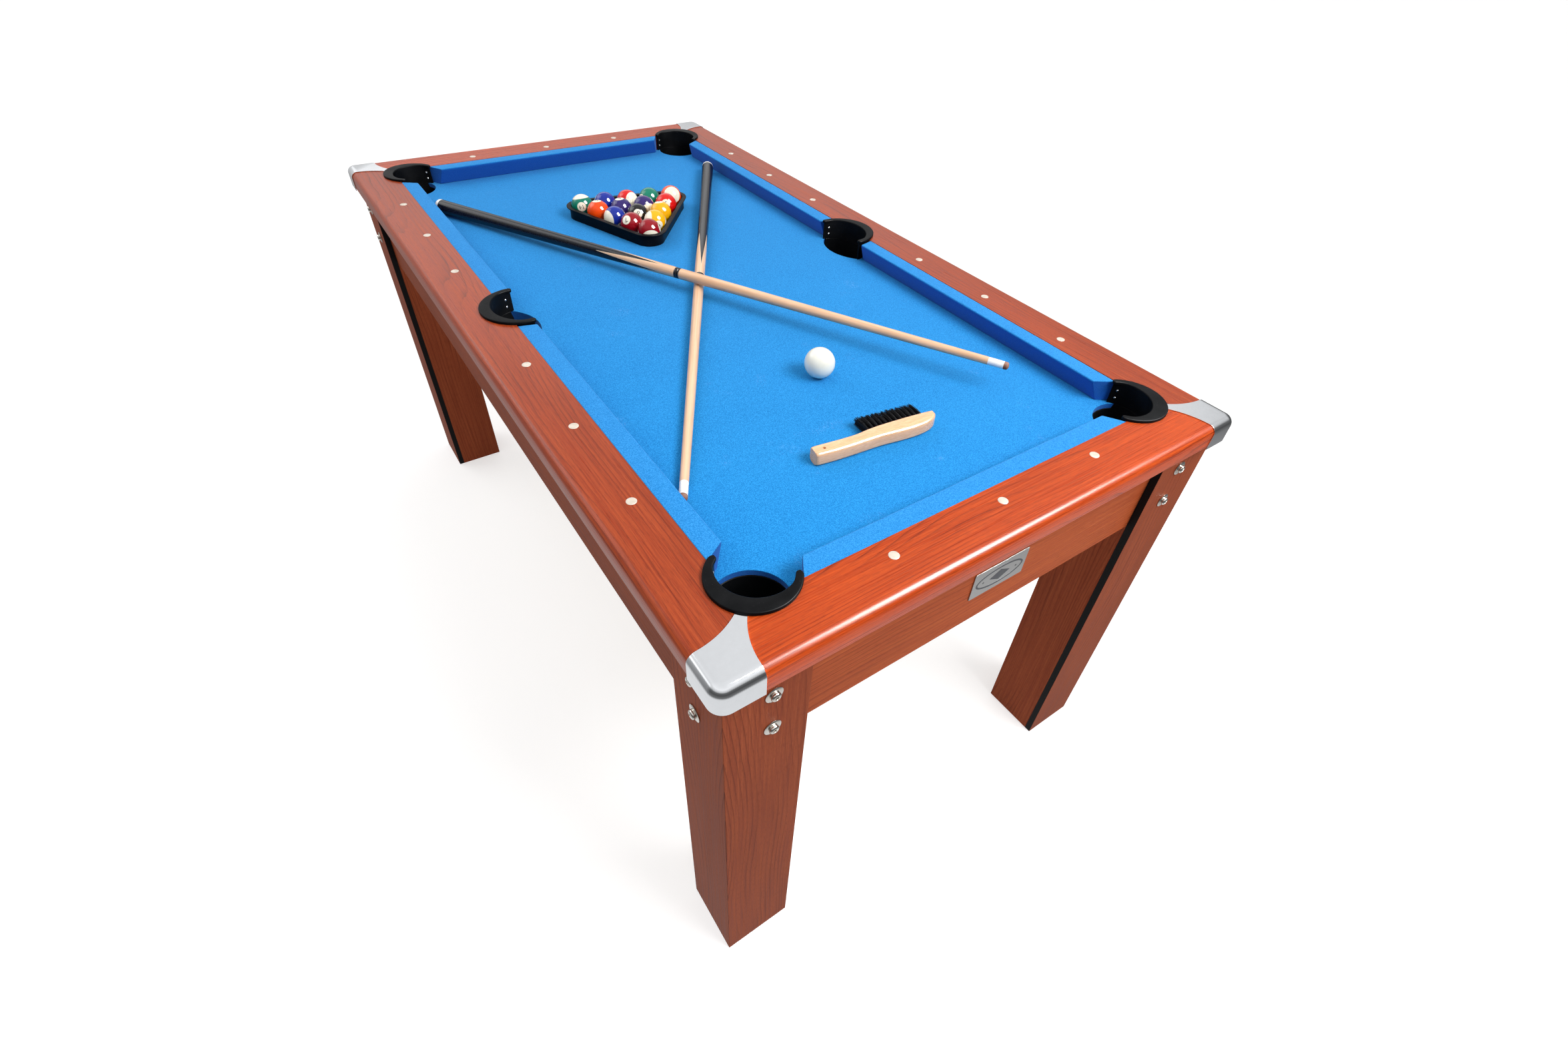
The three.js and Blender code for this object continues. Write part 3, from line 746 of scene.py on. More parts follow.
def rails():
    slab = table_slab(0, RAIL_BOTTOM, eased=0.8 * MM)
    materials = {0: rail_foil("Y"), 1: rail_foil("X")}
    for axis, names in ((0, SIDES), (1, ENDS)):
        for name, sign in names.items():
            shell = sliced(slab, mitre_planes(axis, sign))
            piece = new_piece(
                f"wood_rail_{name}", [shell], materials[axis], slot="rail_foil", nodes=[f"rail_{name}"]
            )
            cut(piece, [rail_slot(place) for place in pocket_places() if name in place["name"]])
            smooth(piece, 30)


def rail_slot(place):
    out, across = (half + WALL_AND_SLOT for half in place["kind"]["throat"])
    outline = [(out * math.cos(turn), across * math.sin(turn)) for turn in turns(96)]
    return moved(prism(outline, RAIL_BOTTOM - 10 * MM, RAIL_TOP + 10 * MM), place["matrix"])


# ---- pockets ---------------------------------------------------------------------------------


def pocket_places():
    places = []
    for side, sx in SIDES.items():
        for end, sy in ENDS.items():
            setback = CORNER_POCKET["setback"]
            spot = Vector((sx * (NOSE.x - setback), sy * (NOSE.y - setback), 0))
            places.append(pocket_place(f"{end}_{side}", CORNER_POCKET, spot, math.atan2(sy, sx)))
        spot = Vector((sx * (NOSE.x - SIDE_POCKET["setback"]), 0, 0))
        places.append(pocket_place(f"middle_{side}", SIDE_POCKET, spot, math.atan2(0, sx)))
    return places


def pocket_place(name, kind, spot, angle):
    matrix = Matrix.Translation(spot) @ Matrix.Rotation(angle, 4, "Z")
    return {"name": name, "kind": kind, "matrix": matrix}


def throat_reach(kind, turn, margin=0.0):
    out, across = kind["throat"]
    return 1 / math.hypot(math.cos(turn) / (out + margin), math.sin(turn) / (across + margin))


def circle_reach(circle, turn, margin=0.0):
    centre, radius = circle
    return centre * math.cos(turn) + math.sqrt((radius + margin) ** 2 - (centre * math.sin(turn)) ** 2)


def hole_reach(kind, turn, margin=0.0):
    mouth = circle_reach(kind["mouth"], turn, margin)
    return min(throat_reach(kind, turn, margin), mouth)


ROLL_MARGIN = 0.7 * MM
ROLL_THICKNESS = 1.4 * MM


def rolled_reach(kind, turn, margin):
    """Where the cloth ends round a pocket: at the liner's wall, or rolled over the mouth's edge."""
    wall = throat_reach(kind, turn, WALL_AND_SLOT)
    return min(wall, circle_reach(kind["mouth"], turn, margin))


def bed_hole(place):
    outline = [polar(rolled_reach(place["kind"], turn, ROLL_MARGIN), turn) for turn in turns(120)]
    return moved(prism(outline, CUP_BOTTOM, RAIL_TOP), place["matrix"])


def cloth_roll(place):
    """The cloth's edge, rolled down over the mouth of a pocket."""
    kind = place["kind"]

    def at_mouth(turn):
        return rolled_reach(kind, turn, 2 * MM) < throat_reach(kind, turn, WALL_AND_SLOT)

    def inner(turn):
        return rolled_reach(kind, turn, ROLL_MARGIN)

    def outer(turn):
        return inner(turn) + ROLL_THICKNESS

    rolled = [turn for turn in turns(120) if at_mouth(turn)]
    step = rolled[1] - rolled[0]
    past = [step * count for count in range(1, 5)]
    rolled = [rolled[0] - more for more in reversed(past)] + rolled + [rolled[-1] + more for more in past]
    shell = band(rolled, inner, outer, CLOTH_TOP - kind["roll_depth"], CLOTH_TOP - 0.1 * MM)
    return moved(shell, place["matrix"])


def tip_turn(kind):
    centre, radius = kind["flange"]
    across = math.sqrt(radius**2 - (kind["tip"] - centre) ** 2)
    return math.atan2(across, kind["tip"])


FLANGE = {"tip_steps": 6, "steps": 28, "tip_grows": 3.5 * MM, "tip_span": math.radians(26)}
FLANGE_TIP = {"inwards": 3.2 * MM, "outwards": 0.5 * MM, "soft": 1.7 * MM}


def flange_turns(last, round_off):
    """Turns from one tip to the other, closer together near the tips."""
    steps, tip_steps = FLANGE["steps"], FLANGE["tip_steps"]
    eased = [1 - math.cos(math.pi / 2 * i / tip_steps) for i in range(tip_steps + 1)]
    half = [last - round_off * share for share in eased]
    half += [half[-1] * (1 - i / steps) for i in range(1, steps)]
    return half + [0.0] + [-turn for turn in reversed(half)]


def flange_shell(kind):
    """The crescent on the rails, with a soft top edge and round tips."""
    bottom, top = RAIL_TOP + GAP, FLANGE_TOP
    last = tip_turn(kind)
    inner_at_tip = throat_reach(kind, last)
    tip_width = circle_reach(kind["flange"], last) - inner_at_tip + FLANGE["tip_grows"]
    round_off = tip_width / 2
    rings = []
    for turn in flange_turns(last, round_off / inner_at_tip):
        near_tip = max(0.0, 1 - (last - abs(turn)) / FLANGE["tip_span"])
        eased = near_tip**2 * (3 - 2 * near_tip)
        inner = throat_reach(kind, turn) - FLANGE_TIP["inwards"] * eased
        outer = circle_reach(kind["flange"], turn) + FLANGE_TIP["outwards"] * near_tip
        from_tip = min(1.0, (last - abs(turn)) * inner_at_tip / round_off)
        half = (outer - inner) / 2 * math.sqrt(max(1 - (1 - from_tip) ** 2, 0.0004))
        middle = (outer + inner) / 2
        soft = min(FLANGE_TIP["soft"], half * 0.9)
        section = [(middle - half, bottom), (middle + half, bottom)]
        section += quarter((middle + half - soft, top - soft), soft, 0)
        section += quarter((middle - half + soft, top - soft), soft, 90)
        rings.append([polar(reach, turn, z) for reach, z in section])
    return loft(rings)


def wall_shell(kind):
    """The wall from the flange down to the cloth, between the cushions."""
    last = tip_turn(kind) - 3 * MM / kind["throat"][1]

    def inner(turn):
        return throat_reach(kind, turn)

    def outer(turn):
        return inner(turn) + POCKET_WALL

    sweep = [last * (1 - i / 30) for i in range(61)]
    return band(sweep, inner, outer, CLOTH_TOP + GAP, RAIL_TOP + 1.5 * MM)


def cup_shell(kind):
    """The cup that catches a ball: it narrows a little and has a round bottom edge."""
    depth = CLOTH_TOP - CUP_BOTTOM
    floor = 3 * MM
    round_bottom = 14 * MM

    def ring(margin, scale, z, rim=False):
        points = []
        for turn in turns(96):
            reach = hole_reach(kind, turn, margin) * scale
            behind = throat_reach(kind, turn) < circle_reach(kind["mouth"], turn)
            lift = 0.9 * MM if rim and behind else -kind["roll_depth"] if rim else 0.0
            points.append(polar(reach, turn, z + lift))
        return points

    def narrowing(z):
        return 1 - 0.07 * (CLOTH_TOP - z) / depth

    def bottom_rings(margin, level):
        made = []
        for i in range(7):
            angle = math.pi / 2 * i / 6
            z = level + round_bottom * (1 - math.sin(angle))
            inset = round_bottom * (1 - math.cos(angle))
            made.append(ring(margin - inset, narrowing(z), z))
        return made

    rim = CLOTH_TOP - 0.5 * MM
    inner = bottom_rings(0.0, CUP_BOTTOM + floor)
    outer = bottom_rings(POCKET_WALL, CUP_BOTTOM)
    rings = list(reversed(inner)) + [ring(0.0, 1, rim - 0.6 * MM, True), ring(0.6 * MM, 1, rim, True)]
    rings += [ring(POCKET_WALL - 0.6 * MM, 1, rim, True), ring(POCKET_WALL, 1, rim - 0.6 * MM, True)]
    rings += outer
    return loft(rings)


def pockets():
    plastic = moulded_plastic("pocket_plastic", tone(6, 7, 9), tone(13, 14, 16), 0.42)
    steel = plated("pocket_screw_steel", (0.42, 0.43, 0.44), 0.3)
    for place in pocket_places():
        kind = place["kind"]
        shells = [flange_shell(kind), wall_shell(kind), cup_shell(kind)]
        shells = [moved(shell, place["matrix"]) for shell in shells]
        name = place["name"]
        piece = new_piece(
            f"pocket_liner_{name}", shells, plastic, slot="pocket_plastic", nodes=[f"pocket_{name}"]
        )
        smooth(piece, 40)
        new_screws(f"pocket_screws_{name}", place, steel)


def new_screws(name, place, steel):
    """Two small screws one above the other near each tip, on the inner side of the wall."""
    kind = place["kind"]
    head = [(2.0, 0), (2.0, 0.3), (1.7, 0.8), (1.1, 1.1), (0.5, 1.15), (0.4, 0.8)]
    shells = []
    for sign in (-1, 1):
        turn = sign * (tip_turn(kind) - math.radians(14))
        for drop in (12, 25):
            base = polar(throat_reach(kind, turn), turn, RAIL_TOP - drop * MM)
            inward = (-math.cos(turn), -math.sin(turn), 0)
            shells.append(moved(lathe(in_mm(head), base, inward, 16), place["matrix"]))
    smooth(new_piece(name, shells, steel, slot="satin_metal"))


# ---- bed and cushions ------------------------------------------------------------------------


def bed_cloth():
    cloth = blue_cloth("bed_cloth_wool", tone(6, 102, 170), tone(38, 142, 208), chalked=True)
    slab = box((-BED.x, -BED.y, CLOTH_BOTTOM), (BED.x, BED.y, CLOTH_TOP))
    piece = new_piece("bed_cloth_sheet", [slab], cloth, slot="blue_cloth", nodes=["bed_cloth"])
    cut(piece, [bed_hole(place) for place in pocket_places()])
    cut(piece, [cloth_roll(place) for place in pocket_places()], "UNION")
    bevelled(piece, 1.0 * MM, 3, 60)


CUSHION = {"undercut": 11 * MM, "corner_cut": 20 * MM, "side_cut": 8 * MM, "steps": 14}
CUSHION_SOFT = {"back": 1.3 * MM, "nose": 2.4 * MM, "under_nose": 1.4 * MM, "nose_face": 4.6 * MM}
CUSHION_START = {"corner": 69 * MM, "side": 72 * MM}


def cushion_section():
    """A cushion's section as (distance towards the cloth, height), with soft cloth-covered edges."""
    width = WOOD.x - NOSE.x
    bottom = CLOTH_TOP + GAP
    top = RAIL_TOP - GAP
    back, nose = CUSHION_SOFT["back"], CUSHION_SOFT["nose"]
    nose_bottom = top - CUSHION_SOFT["nose_face"]
    section = [(GAP, bottom)]
    section += list(reversed(quarter((GAP + back, top - back), back, 90)))
    section += list(reversed(quarter((width - nose, top - nose), nose, 0)))
    section.append((width, nose_bottom))
    section.append((width - 0.6 * MM, nose_bottom - CUSHION_SOFT["under_nose"]))
    section.append((width - CUSHION["undercut"], bottom))
    return section, width


def cushion(name, span, cuts, turn, back, cloth):
    """A cushion along +Y whose nose points to -X, turned and set against its rail."""
    section, width = cushion_section()
    start, end = span
    start_cut, end_cut = cuts
    rings = []
    for i in range(CUSHION["steps"] + 1):
        share = i / CUSHION["steps"]
        along = start + (end - start) * share
        cut_back = (1 - share) * -start_cut + share * end_cut
        rings.append([(-reach, along + cut_back * (1 - reach / width), z) for reach, z in section])
    matrix = Matrix.Rotation(turn, 4, "Z")
    matrix.translation = back
    shell = moved(loft(rings), matrix)
    piece = new_piece(f"{name}_cloth", [shell], cloth, slot="blue_cloth", nodes=[name])
    bevelled(piece, 1.1 * MM, 3, 50)


def cushions():
    cloth = blue_cloth("cushion_wool", tone(18, 108, 178), tone(50, 142, 208))
    corner, side_cut = CUSHION["corner_cut"], CUSHION["side_cut"]
    long_end = NOSE.y - CUSHION_START["corner"]
    long_start = CUSHION_START["side"]
    short_end = NOSE.x - CUSHION_START["corner"]
    for side, sx in SIDES.items():
        for end, sy in ENDS.items():
            span, cuts = (long_start, long_end), (side_cut, corner)
            if sx * sy < 0:
                span, cuts = (-long_end, -long_start), (corner, side_cut)
            turn = 0 if sx > 0 else math.pi
            cushion(f"cushion_{side}_{end}", span, cuts, turn, Vector((sx * WOOD.x, 0, 0)), cloth)
    for end, sy in ENDS.items():
        back = Vector((0, sy * WOOD.y, 0))
        span = (-short_end, short_end)
        cushion(f"cushion_{end}", span, (corner, corner), sy * math.pi / 2, back, cloth)


# ---- cabinet ---------------------------------------------------------------------------------


def recoat(node, material):
    """A CAD piece that keeps its shape, with its finish and slightly soft edges."""
    piece = bpy.data.objects[node]
    for place in piece.material_slots:
        place.material = material
    soften(piece, 0.4 * MM, 2, 60, harden=False)


def cabinet():
    along_x = cabinet_foil("X")
    along_y = cabinet_foil("Y")
    board = raw_board()
    for end in ENDS:
        recoat(f"apron_{end}", along_x)
        recoat(f"cross_beam_{end}", board)
    for side in SIDES:
        recoat(f"apron_{side}", along_y)
    recoat("bed_board", board)


def leg_boards():
    """The boards of the leg in the +X +Y corner: outer ones up to the rails, inner ones shorter."""
    x0, y0 = LEG_LOW.x, LEG_LOW.y
    x1, y1 = LEG_HIGH.x, LEG_HIGH.y
    t = PANEL
    joint = 0.06 * MM
    box_top = APRON_BOTTOM - GAP
    end_board = [(x0, y1 - t), (x1 - t - joint, y1 - t), (x1 - joint, y1), (x0, y1)]
    side_board = [(x1 - t, y1 - t - joint), (x1 - t, y0), (x1, y0), (x1, y1 - joint)]
    inner_x = [(x0, y0 + joint), (x0 + t, y0 + t + joint), (x0 + t, y1 - t - joint), (x0, y1 - t - joint)]
    inner_y = [(x0 + joint, y0), (x1 - t - joint, y0), (x1 - t - joint, y0 + t), (x0 + t + joint, y0 + t)]
    foot = box((x0 + t, y0 + t, 0.3 * MM), (x1 - t, y1 - t, 12 * MM))
    return [
        prism(end_board, 0, APRON_TOP),
        prism(side_board, 0, APRON_TOP),
        prism(inner_x, 0, box_top),
        prism(inner_y, 0, box_top),
        foot,
    ]


def legs():
    """Four legs. The paint picks the raw edges that show beside the inner boards."""
    materials = [cabinet_foil("Z"), black_edge()]
    boards = leg_boards()
    tiny = 0.5 * MM
    for end, side, sy, sx in corners():
        mirror = Matrix.Diagonal((sx, sy, 1, 1))

        def paint(centre, normal, sx=sx, sy=sy):
            x, y = centre.x * sx, centre.y * sy
            at_x_edge = abs(x - LEG_LOW.x) < tiny and y > LEG_HIGH.y - PANEL
            at_y_edge = abs(y - LEG_LOW.y) < tiny and x > LEG_HIGH.x - PANEL
            return 1 if at_x_edge or at_y_edge else 0

        name = f"leg_boards_{end}_{side}"
        shells = [moved(board, mirror) for board in boards]
        nodes = [f"leg_{end}_{side}"]
        bevelled(new_piece(name, shells, materials, "table", "cabinet_foil", nodes, paint), 0.5 * MM, 2, 40)


def hexagon(apothem):
    return lambda angle: apothem / math.cos((angle + math.pi / 6) % (math.pi / 3) - math.pi / 6)


BOLT_X = 380 * MM
BOLT_Y = 777.5 * MM
BOLT_HEIGHTS = (733 * MM, 666 * MM)
SOCKET_FLOOR = 4.4 * MM  # from the leg's face


def bolts():
    """Two bolts through each outer leg board, each with a washer and a domed head with a socket."""
    nickel = plated("bolt_nickel", (0.7, 0.67, 0.62), 0.16, (150, 150, 150), 0.1)
    dark = moulded_plastic("socket_shadow", tone(14, 13, 12), tone(30, 28, 26), 0.7)
    washer = [(4, 0.2), (4, 0.1), (11.4, 0.1), (12, 0.5), (12, 1.1), (11.5, 1.5), (7, 1.7)]
    head = [(6.2, 1.5), (6.6, 2.2), (6.6, 4.6), (6.1, 5.8), (4.9, 6.6), (3.6, 6.9)]
    socket = [(hexagon(2.6 * MM), 6.9 * MM), (hexagon(2.4 * MM), 6.4 * MM)]
    socket.append((hexagon(2.3 * MM), SOCKET_FLOOR))
    shells = []
    for _, _, sy, sx in corners():
        for height in BOLT_HEIGHTS:
            on_end = ((sx * BOLT_X, sy * LEG_HIGH.y, height), (0, sy, 0))
            on_side = ((sx * LEG_HIGH.x, sy * BOLT_Y, height), (sx, 0, 0))
            for spot in (on_end, on_side):
                shells += [lathe(profile, *spot, 36) for profile in (in_mm(washer), in_mm(head) + socket)]

    def paint(centre, normal):
        along_x = abs(normal.x) > abs(normal.y)
        proud = abs(centre.x) - LEG_HIGH.x if along_x else abs(centre.y) - LEG_HIGH.y
        return 1 if abs(proud - SOCKET_FLOOR) < 0.05 * MM else 0

    smooth(new_piece("leg_bolts", shells, [nickel, dark], slot="satin_metal", paint=paint), 50)


# ---- corner caps -----------------------------------------------------------------------------

CAP = {"reach": 59, "tongue_reach": 80, "tongue_side": 70, "arc_start": 5}


def cap_outline():
    """A cap's plan in the +X +Y corner: hollow sides and a tongue towards the pocket."""
    reach, tongue_reach = CAP["reach"], CAP["tongue_reach"]
    start, tongue_side = CAP["arc_start"], CAP["tongue_side"]
    rise = tongue_side - start
    run = tongue_reach - reach
    radius = (run**2 + rise**2) / (2 * run)
    sweep = math.asin(rise / radius)
    beyond = 4
    steps = 20
    arc = []
    for i in range(steps + 1):
        turn = sweep * i / steps
        arc.append((start + radius * math.sin(turn), reach + radius * (1 - math.cos(turn))))
    outline = [(-beyond, -beyond), (-beyond, reach), *arc]
    outline += [(q, p) for p, q in reversed(arc)]
    outline.append((reach, -beyond))
    return [(HALF.x - p * MM, HALF.y - q * MM) for p, q in outline]


def corner_caps():
    chrome = plated("chrome_plate", (0.85, 0.87, 0.9), 0.05, (90, 90, 90), 0.07)
    outer = table_slab(1.5 * MM, CAP_BOTTOM, steps=14)
    inner = table_slab(GAP, CAP_BOTTOM - 10 * MM, steps=14)
    plan = prism(cap_outline(), CAP_BOTTOM - 5 * MM, CAP_TOP + 5 * MM)
    first = new_piece("cap_far_right", [outer], chrome, slot="chrome_plate", nodes=["corner_cap_far_right"])
    cut(first, [plan], "INTERSECT")
    cut(first, [inner])
    points = [tuple(vert.co) for vert in first.data.vertices]
    faces = [tuple(face.vertices) for face in first.data.polygons]
    for end, side, sy, sx in corners():
        piece = first
        if (end, side) != ("far", "right"):
            shell = moved((points, faces), Matrix.Diagonal((sx, sy, 1, 1)))
            nodes = [f"corner_cap_{end}_{side}"]
            piece = new_piece(f"cap_{end}_{side}", [shell], chrome, slot="chrome_plate", nodes=nodes)
        bevelled(piece, 0.3 * MM, 2, 50)


# ---- small fittings --------------------------------------------------------------------------

SIGHTS_X = 405 * MM  # the long rails' sights, from the middle of the table
SIGHTS_Y = 800 * MM  # the end rails' sights
LONG_SIGHTS = (185.7 * MM, 371 * MM, 554.3 * MM)
END_SIGHTS = (0, 185.6 * MM)


def sight_places():
    places = []
    for sign in (-1, 1):
        for along in LONG_SIGHTS:
            places += [(sign * SIGHTS_X, along), (sign * SIGHTS_X, -along)]
        for along in END_SIGHTS:
            places += [(along, sign * SIGHTS_Y), (-along, sign * SIGHTS_Y)]
    return sorted(set(places))


def sights():
    pearl = smooth_plastic("sight_plastic", tone(206, 194, 180), tone(186, 174, 158), 0.35)
    disc = [(7.0, -0.8), (7.0, 0.15), (6.8, 0.4), (6.2, 0.55), (3.0, 0.65), (0.6, 0.68)]
    shells = [lathe(in_mm(disc), (x, y, RAIL_TOP), segments=40) for x, y in sight_places()]
    smooth(new_piece("rail_sights", shells, pearl, slot="white_plastic"), 50)


def oval(width, height, count=72):
    return [(width / 2 * math.cos(turn), height / 2 * math.sin(turn)) for turn in turns(count)]


def nameplate():
    """A brushed plate on the near apron with a plain ornament: an oval ring, a rhombus, two dots."""
    lower, upper = low("nameplate"), high("nameplate")
    middle = (lower + upper) / 2
    upright = Matrix.Translation((middle.x, lower.y, middle.z)) @ Matrix.Rotation(math.pi / 2, 4, "X")
    thickness = upper.y - lower.y
    width, height = upper.x - lower.x, upper.z - lower.z
    plate = rounded_rectangle(width / 2, height / 2, 1.5 * MM, 5)
    shell = moved(prism(plate, -thickness, -0.1 * MM), upright)
    brushed = plated("nameplate_metal", (0.5, 0.5, 0.5), 0.34, (25, 25, 1400), 0.16)
    piece = new_piece("maker_plate", [shell], brushed, slot="satin_metal", nodes=["nameplate"])
    bevelled(piece, 0.3 * MM, 2, 50)
    enamel = smooth_plastic("plate_enamel", tone(20, 24, 34), tone(34, 38, 50), 0.35)
    levels = (-0.4 * MM, 0.0)
    ring = oval_ring(0.88 * width, 0.68 * height, 3.4 * MM, levels)
    gem = prism([(20 * MM, 0), (0, 10 * MM), (-20 * MM, 0), (0, -10 * MM)], *levels)
    dots = [lathe([(1.7 * MM, levels[0]), (1.7 * MM, levels[1])], (x * MM, 0, 0)) for x in (-32, 32)]
    shells = [moved(shell, upright) for shell in (ring, gem, *dots)]
    new_piece("maker_plate_ornament", shells, enamel, slot="pocket_plastic")


def oval_ring(width, height, line, levels):
    outer = oval(width, height)
    inner = oval(width - 2 * line, height - 2 * line)
    rings = []
    for (x0, y0), (x1, y1) in zip(outer, inner):
        section = [(x0, y0, levels[0]), (x0, y0, levels[1]), (x1, y1, levels[1]), (x1, y1, levels[0])]
        rings.append(section)
    return loft(rings, loop=True)


# ---- balls -----------------------------------------------------------------------------------

PLAIN_COLOURS = (
    ("yellow", tone(244, 176, 8)),
    ("blue", tone(20, 44, 150)),
    ("red", tone(214, 20, 14)),
    ("purple", tone(48, 32, 104)),
    ("orange", tone(242, 74, 10)),
    ("green", tone(8, 122, 98)),
    ("maroon", tone(146, 8, 26)),
    ("black", tone(20, 20, 22)),
)

# How each ball lies: where its number faces and which way is up for the number, each as azimuth
# and elevation in degrees.
BALLS_LIE = {
    1: ((100, 80), (-80, 10)),
    2: ((-38, -25), (0, 40)),
    3: ((-116, 23), (-90, -65)),
    4: ((125, 84), (-60, 6)),
    5: ((97, 84), (-83, 6)),
    6: ((-170, 12), (65, 70)),
    7: ((-152, 39), (-95, -35)),
    8: ((-114, 28), (15, 50)),
    9: ((82, 0), (172, 20)),
    10: ((-79, -29), (178, 9)),
    11: ((-145, -45), (-72, 14)),
    12: ((175, -30), (-84, -14)),
    13: ((-165, -40), (-104, 30)),
    14: ((-114, 13), (-92, -71)),
    15: ((155, -15), (-105, -26)),
}


def direction(azimuth, elevation):
    a, e = math.radians(azimuth), math.radians(elevation)
    return Vector((math.cos(a) * math.cos(e), math.sin(a) * math.cos(e), math.sin(e)))


def ball_frame(number):
    """The ball's own axes: X to its number, Z up for the number."""
    face, upward = (direction(*angles) for angles in BALLS_LIE[number])
    upward = (upward - face * upward.dot(face)).normalized()
    return Matrix((face, upward.cross(face), upward)).transposed()


def ball_place(node):
    lower, upper = low(node), high(node)
    return (lower + upper) / 2, (upper.z - lower.z) / 2


def globe(radius, rings=32, segments=64):
    """A ball's shell in its own frame."""
    profile = []
    for i in range(rings + 1):
        angle = math.pi * (i + 0.25) / (rings + 0.5)
        profile.append((radius * math.sin(angle), -radius * math.cos(angle)))
    return lathe(profile, segments=segments)


def ball(node, material, slot, frame_of_ball):
    centre, radius = ball_place(node)
    points, faces = globe(radius)
    matrix = Matrix.Translation(centre) @ frame_of_ball.to_4x4()
    piece = new_piece(f"{node}_resin", [moved((points, faces), matrix)], material, node, slot, [node])
    with_marks(piece, [(x / radius, y / radius, z / radius) for x, y, z in points])
    smooth(piece, 60)


def flat_digits(number, size):
    """A mesh of a number's digits, flat and centred on the origin."""
    text = bpy.data.curves.new("digits", "FONT")
    text.body = str(number)
    text.size = size
    text.align_x = "CENTER"
    text.align_y = "CENTER"
    text.resolution_u = 4
    holder = new_object("digits", text)
    mesh = real_mesh(holder)
    bpy.data.objects.remove(holder)
    bpy.data.curves.remove(text)
    return mesh


def number_patch(number, radius, sign, size):
    """The digits of a number laid on a ball's surface, in the ball's own frame."""
    mesh = flat_digits(number, size)
    shape = bmesh.new()
    shape.from_mesh(mesh)
    bpy.data.meshes.remove(mesh)
    bmesh.ops.triangulate(shape, faces=shape.faces)
    for _ in range(5):
        long_edges = [edge for edge in shape.edges if edge.calc_length() > 1.2 * MM]
        if not long_edges:
            break
        bmesh.ops.subdivide_edges(shape, edges=long_edges, cuts=1)
        bmesh.ops.triangulate(shape, faces=shape.faces)
    lifted = radius + 0.05 * MM
    points = []
    for vert in shape.verts:
        across, up = vert.co.x, vert.co.y
        outward = math.sqrt(radius**2 - across**2 - up**2)
        spot = Vector((sign * outward, sign * across, up)).normalized() * lifted
        points.append(tuple(spot))
    shape.verts.index_update()
    faces = [tuple(vert.index for vert in face.verts) for face in shape.faces]
    shape.free()
    return points, faces


def balls():
    ink = smooth_plastic("number_ink", tone(16, 16, 18), tone(34, 34, 36), 0.2)
    for number in range(1, 16):
        node = f"ball_{number:02d}"
        name, colour = PLAIN_COLOURS[(number - 1) % 8]
        striped = number > 8
        kind = "striped" if striped else "plain"
        resin = ball_resin(f"{name}_{kind}_resin", colour, striped)
        axes = ball_frame(number)
        ball(node, resin, f"ball_{name}", axes)
        centre, radius = ball_place(node)
        matrix = Matrix.Translation(centre) @ axes.to_4x4()
        size = 0.5 * radius if number > 9 else 0.6 * radius
        patches = [moved(number_patch(number, radius, sign, size), matrix) for sign in (-1, 1)]
        new_piece(f"{node}_digits", patches, ink, body=node, slot="ball_black")
    ivory = plain_resin("cue_ball_resin", tone(234, 232, 220), tone(222, 216, 198))
    ball("cue_ball", ivory, "ball_ivory", Matrix.Identity(3))


# ---- triangle --------------------------------------------------------------------------------

TRIANGLE = {"wall": 3, "lip": 6.5, "lip_thickness": 2.5, "slack": 2.7, "easing": 2, "steps": 20}


def rack_section(inner, bottom, top):
    """The wall and its outward lip as (distance outwards, height), with eased edges."""
    outer = inner + TRIANGLE["wall"] * MM
    lip = outer + TRIANGLE["lip"] * MM
    under_lip = top - TRIANGLE["lip_thickness"] * MM
    soft = 0.9 * MM
    foot = 0.4 * MM
    rise = 0.5 * MM
    fillet = 1.2 * MM
    section = [(inner + foot, bottom), (outer - foot, bottom), (outer, bottom + rise)]
    section += [(outer, under_lip - fillet), (outer + fillet, under_lip), (lip - rise, under_lip)]
    section += quarter((lip - soft, top - soft), soft, 0)
    section += quarter((inner + soft, top - soft), soft, 90)
    return section + [(inner, bottom + rise)]


def triangle_rack():
    """A moulded triangle: one section swept round the corners of the fifteen balls."""
    node = "triangle_rack"
    easing = TRIANGLE["easing"] * MM
    corner_balls = [ball_place(f"ball_{number:02d}") for number in (14, 15, 13)]
    spots = [spot for spot, _ in corner_balls]
    centre = sum(spots, Vector()) / 3
    inner = TRIANGLE["slack"] * MM + corner_balls[0][1]
    section = rack_section(inner, low(node).z, high(node).z)
    rings = []
    for corner in spots:
        outward = corner - centre
        outward.z = 0
        spot = centre + outward.normalized() * (outward.length - 2 * easing)
        middle = math.atan2(outward.y, outward.x)
        for i in range(TRIANGLE["steps"] + 1):
            turn = middle + math.radians(-60 + 120 * i / TRIANGLE["steps"])
            heading = Vector((math.cos(turn), math.sin(turn), 0))
            points = [(spot + heading * (offset + easing), z) for offset, z in section]
            rings.append([(point.x, point.y, z) for point, z in points])
    plastic = moulded_plastic("rack_plastic", tone(9, 9, 11), tone(20, 20, 24), 0.36)
    piece = new_piece("rack_frame", [loft(rings, loop=True)], plastic, node, "rack_plastic", [node])
    smooth(piece, 40)


# ---- cues ------------------------------------------------------------------------------------

CUE = {"length": 1290, "butt": 14.5, "joint": 10, "tip": 6.25, "bumper": 10, "joint_at": 645}
FERRULE = {"start": 1256, "leather": 1282}
CUE_SEGMENTS = 48


def joint_named(name):
    return next(joint for joint in frame["joints"] if joint["name"] == name)


